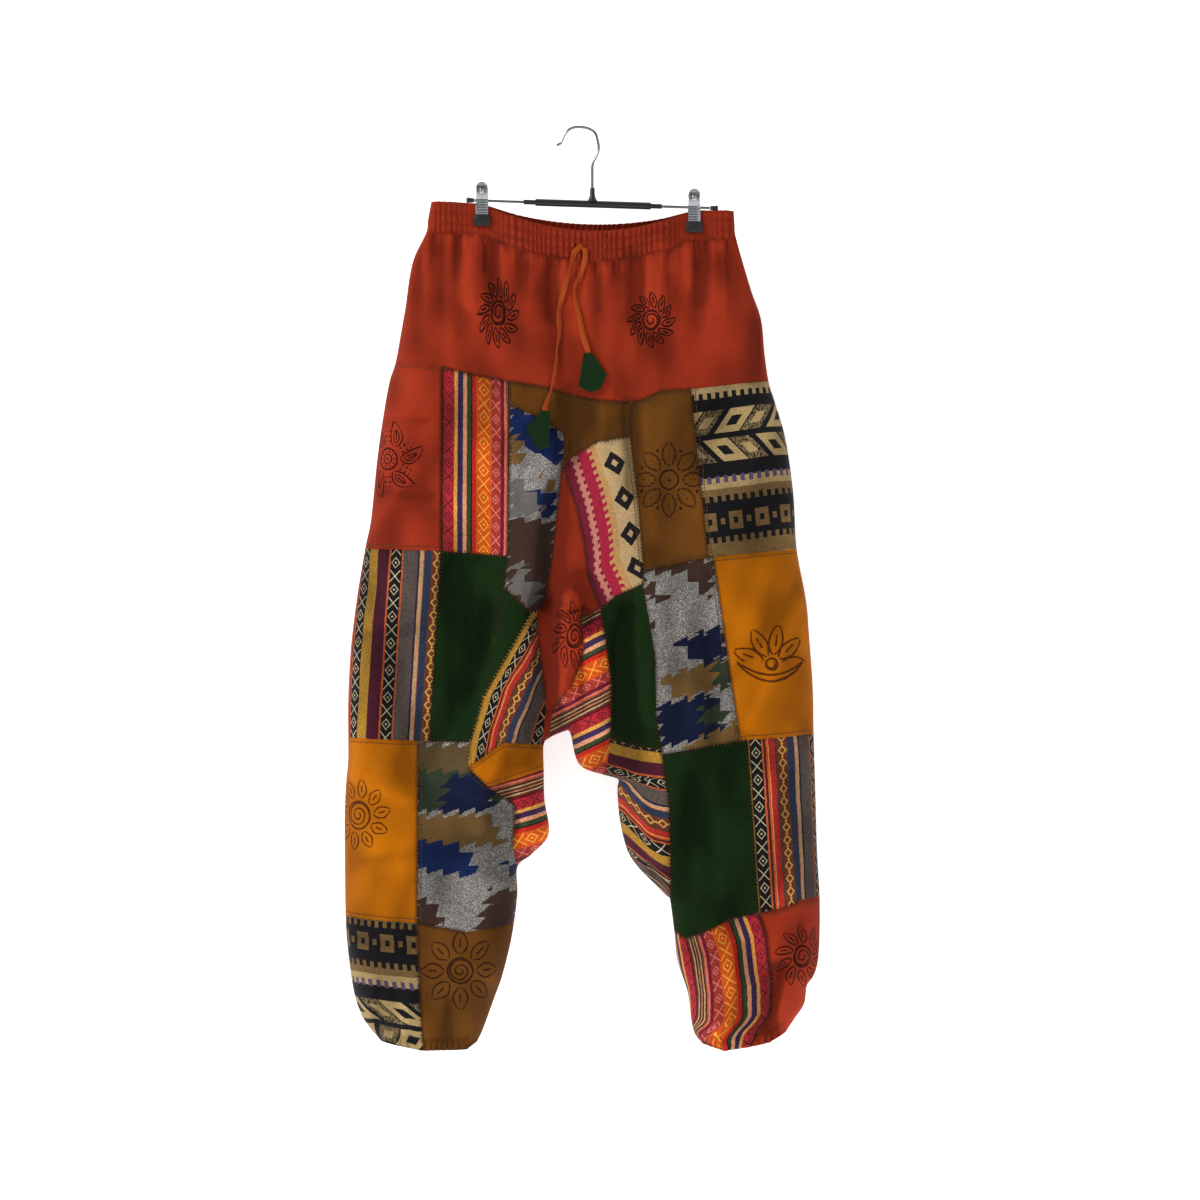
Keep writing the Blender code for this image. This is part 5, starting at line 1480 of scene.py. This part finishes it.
def string_route(points, tag_depth):
    """A drawstring's line: smooth, on the front cloth, and out to the tag's plane at its end."""
    flat = spline(points, 4)
    depth = front_depth(flat, 4) - TAPE_CLEAR
    share = np.clip(np.linspace(-1.2, 1, len(flat)), 0, 1)
    depth = depth + (tag_depth - depth) * share * share * (3 - 2 * share)
    return np.column_stack([flat[:, 0], depth, -flat[:, 1]])


def tape(name, route, turns, finish):
    """A flat folded tape along a route, turned by angles in degrees that run evenly along it."""
    ring = [(s * TAPE_WIDE / 2, t * TAPE_THICK / 2) for s, t in
            ((-1, 0), (-0.9, 0.7), (-0.4, 1), (0.4, 0.9), (0.9, 0.7), (1, 0), (0.9, -0.7), (0.4, -1),
             (-0.4, -0.9), (-0.9, -0.7))]
    along = np.gradient(route, axis=0)
    along /= np.linalg.norm(along, axis=1, keepdims=True)
    out = np.array([0.0, -1, 0])
    angle = np.radians(np.interp(np.linspace(0, 1, len(route)), np.linspace(0, 1, len(turns)), turns))
    verts, coords = [], []
    far = np.concatenate([[0], np.cumsum(np.linalg.norm(np.diff(route, axis=0), axis=1))])
    for spot, way, turn, at in zip(route, along, angle, far):
        side = np.cross(way, out)
        side /= np.linalg.norm(side)
        front = np.cross(side, way)
        wide = side * cos(turn) + front * sin(turn)
        thick = front * cos(turn) - side * sin(turn)
        for s, t in ring:
            verts.append(spot + wide * s + thick * t)
            coords.append((s, at))
    n = len(ring)
    faces = [[i * n + k, i * n + (k + 1) % n, (i + 1) * n + (k + 1) % n, (i + 1) * n + k]
             for i in range(len(route) - 1) for k in range(n)]
    faces += [list(range(n))[::-1], [(len(route) - 1) * n + k for k in range(n)]]
    mesh = bpy.data.meshes.new(f"{name}_tape")
    mesh.from_pydata((np.array(verts) * MM).tolist(), [], faces)
    corner = [i for f in faces for i in f]
    mesh.uv_layers.new(name="Cloth").data.foreach_set("uv", (np.array(coords)[corner] * MM).ravel())
    mesh.materials.append(finish)
    mesh.shade_smooth()
    return piece(f"{name}_tape", mesh, "string_tape", name)


def tag(name, outline, finish):
    """A folded kite of felted cloth, made here as one flat slab with plain edges."""
    mesh = bmesh.new()
    depth = tag_plane(outline)
    front, back = ([mesh.verts.new((x * MM, (depth + y) * MM, -z * MM)) for x, z in outline]
                   for y in (-TAG_HALF, TAG_HALF))
    mesh.faces.new(front)
    mesh.faces.new(back[::-1])
    n = len(outline)
    for k in range(n):
        mesh.faces.new((front[k], back[k], back[(k + 1) % n], front[(k + 1) % n]))
    bmesh.ops.recalc_face_normals(mesh, faces=mesh.faces)
    data = bpy.data.meshes.new(f"{name}_felt")
    mesh.to_mesh(data)
    mesh.free()
    data.materials.append(finish)
    made = piece(f"{name}_felt", data, "green_cloth", name)
    return made


def drawstring():
    """Both free ends of the tape, each with its tag."""
    for side, points, outline, turns in (
        ("left", STRING_LEFT, TAG_LEFT, (0, 10, 60, 20, -30, 50, 20, 70, 80, 60, 80, 60, 30, 0)),
        ("right", STRING_RIGHT, TAG_RIGHT, (0, 10, -40, 60, 75, 20, 10, 0, 10, 0)),
    ):
        route = string_route(points, tag_plane(outline))
        string = tape(f"drawstring_{side}", route, turns, FINISHES["string"])
        hung = tag(f"tag_{side}", outline, FINISHES["felt"])


# ---------------------------------------------------------------- room, light and camera
def room():
    """A white wall close behind, a pale floor and soft light."""
    for name, corners in (
        ("wall", ((-4, 0.062, -1.6), (4, 0.062, -1.6), (4, 0.062, 3), (-4, 0.062, 3))),
        ("floor", ((-4, -5, -1.6), (4, -5, -1.6), (4, 5, -1.6), (-4, 5, -1.6))),
    ):
        mesh = bpy.data.meshes.new(name)
        mesh.from_pydata(corners, [], [(0, 1, 2, 3)])
        made = bpy.data.objects.new(name, mesh)
        bpy.context.scene.collection.objects.link(made)
        finish = bpy.data.materials.new(name)
        finish.use_nodes = True
        finish.node_tree.nodes["Principled BSDF"].inputs["Base Color"].default_value = (0.9, 0.9, 0.9, 1)
        finish.node_tree.nodes["Principled BSDF"].inputs["Roughness"].default_value = 0.9
        finish.node_tree.nodes["Principled BSDF"].inputs["Emission Color"].default_value = (1, 1, 1, 1)
        finish.node_tree.nodes["Principled BSDF"].inputs["Emission Strength"].default_value = 0.6
        if name == "wall":
            tree = finish.node_tree
            clear = tree.nodes.new("ShaderNodeBsdfTransparent")
            behind = tree.nodes.new("ShaderNodeNewGeometry")
            mixed = tree.nodes.new("ShaderNodeMixShader")
            tree.links.new(behind.outputs["Backfacing"], mixed.inputs[0])
            tree.links.new(tree.nodes["Principled BSDF"].outputs[0], mixed.inputs[1])
            tree.links.new(clear.outputs[0], mixed.inputs[2])
            tree.links.new(mixed.outputs[0], tree.nodes["Material Output"].inputs[0])
            made.visible_shadow = False
        mesh.materials.append(finish)
    world = bpy.data.worlds.new("soft_white")
    world.use_nodes = True
    world.node_tree.nodes["Background"].inputs[0].default_value = (1, 1, 1, 1)
    world.node_tree.nodes["Background"].inputs[1].default_value = 0.3
    bpy.context.scene.world = world
    for name, place, aim, size, power in (
        ("key", (-2.1, -1.5, 1.5), (0, 0, -0.5), 0.9, 62),
        ("fill", (1.8, -2.4, 0.2), (0, 0, -0.6), 2.0, 12),
    ):
        data = bpy.data.lights.new(name, "AREA")
        data.size, data.energy = size, power
        made = bpy.data.objects.new(name, data)
        made.location = place
        made.rotation_euler = (Vector(aim) - Vector(place)).to_track_quat("-Z", "Y").to_euler()
        bpy.context.scene.collection.objects.link(made)
    bpy.context.scene.view_settings.view_transform = "Standard"


def camera():
    """A long lens level with the middle of the garment."""
    data = bpy.data.cameras.new("camera")
    data.lens = 85
    made = bpy.data.objects.new("camera", data)
    made.location = (0.026, -3.34, -0.556)
    made.rotation_euler = (pi / 2, 0, 0)
    bpy.context.scene.collection.objects.link(made)
    bpy.context.scene.camera = made


camera()
drawstring()
trousers()
sewing()
hanger()
room()
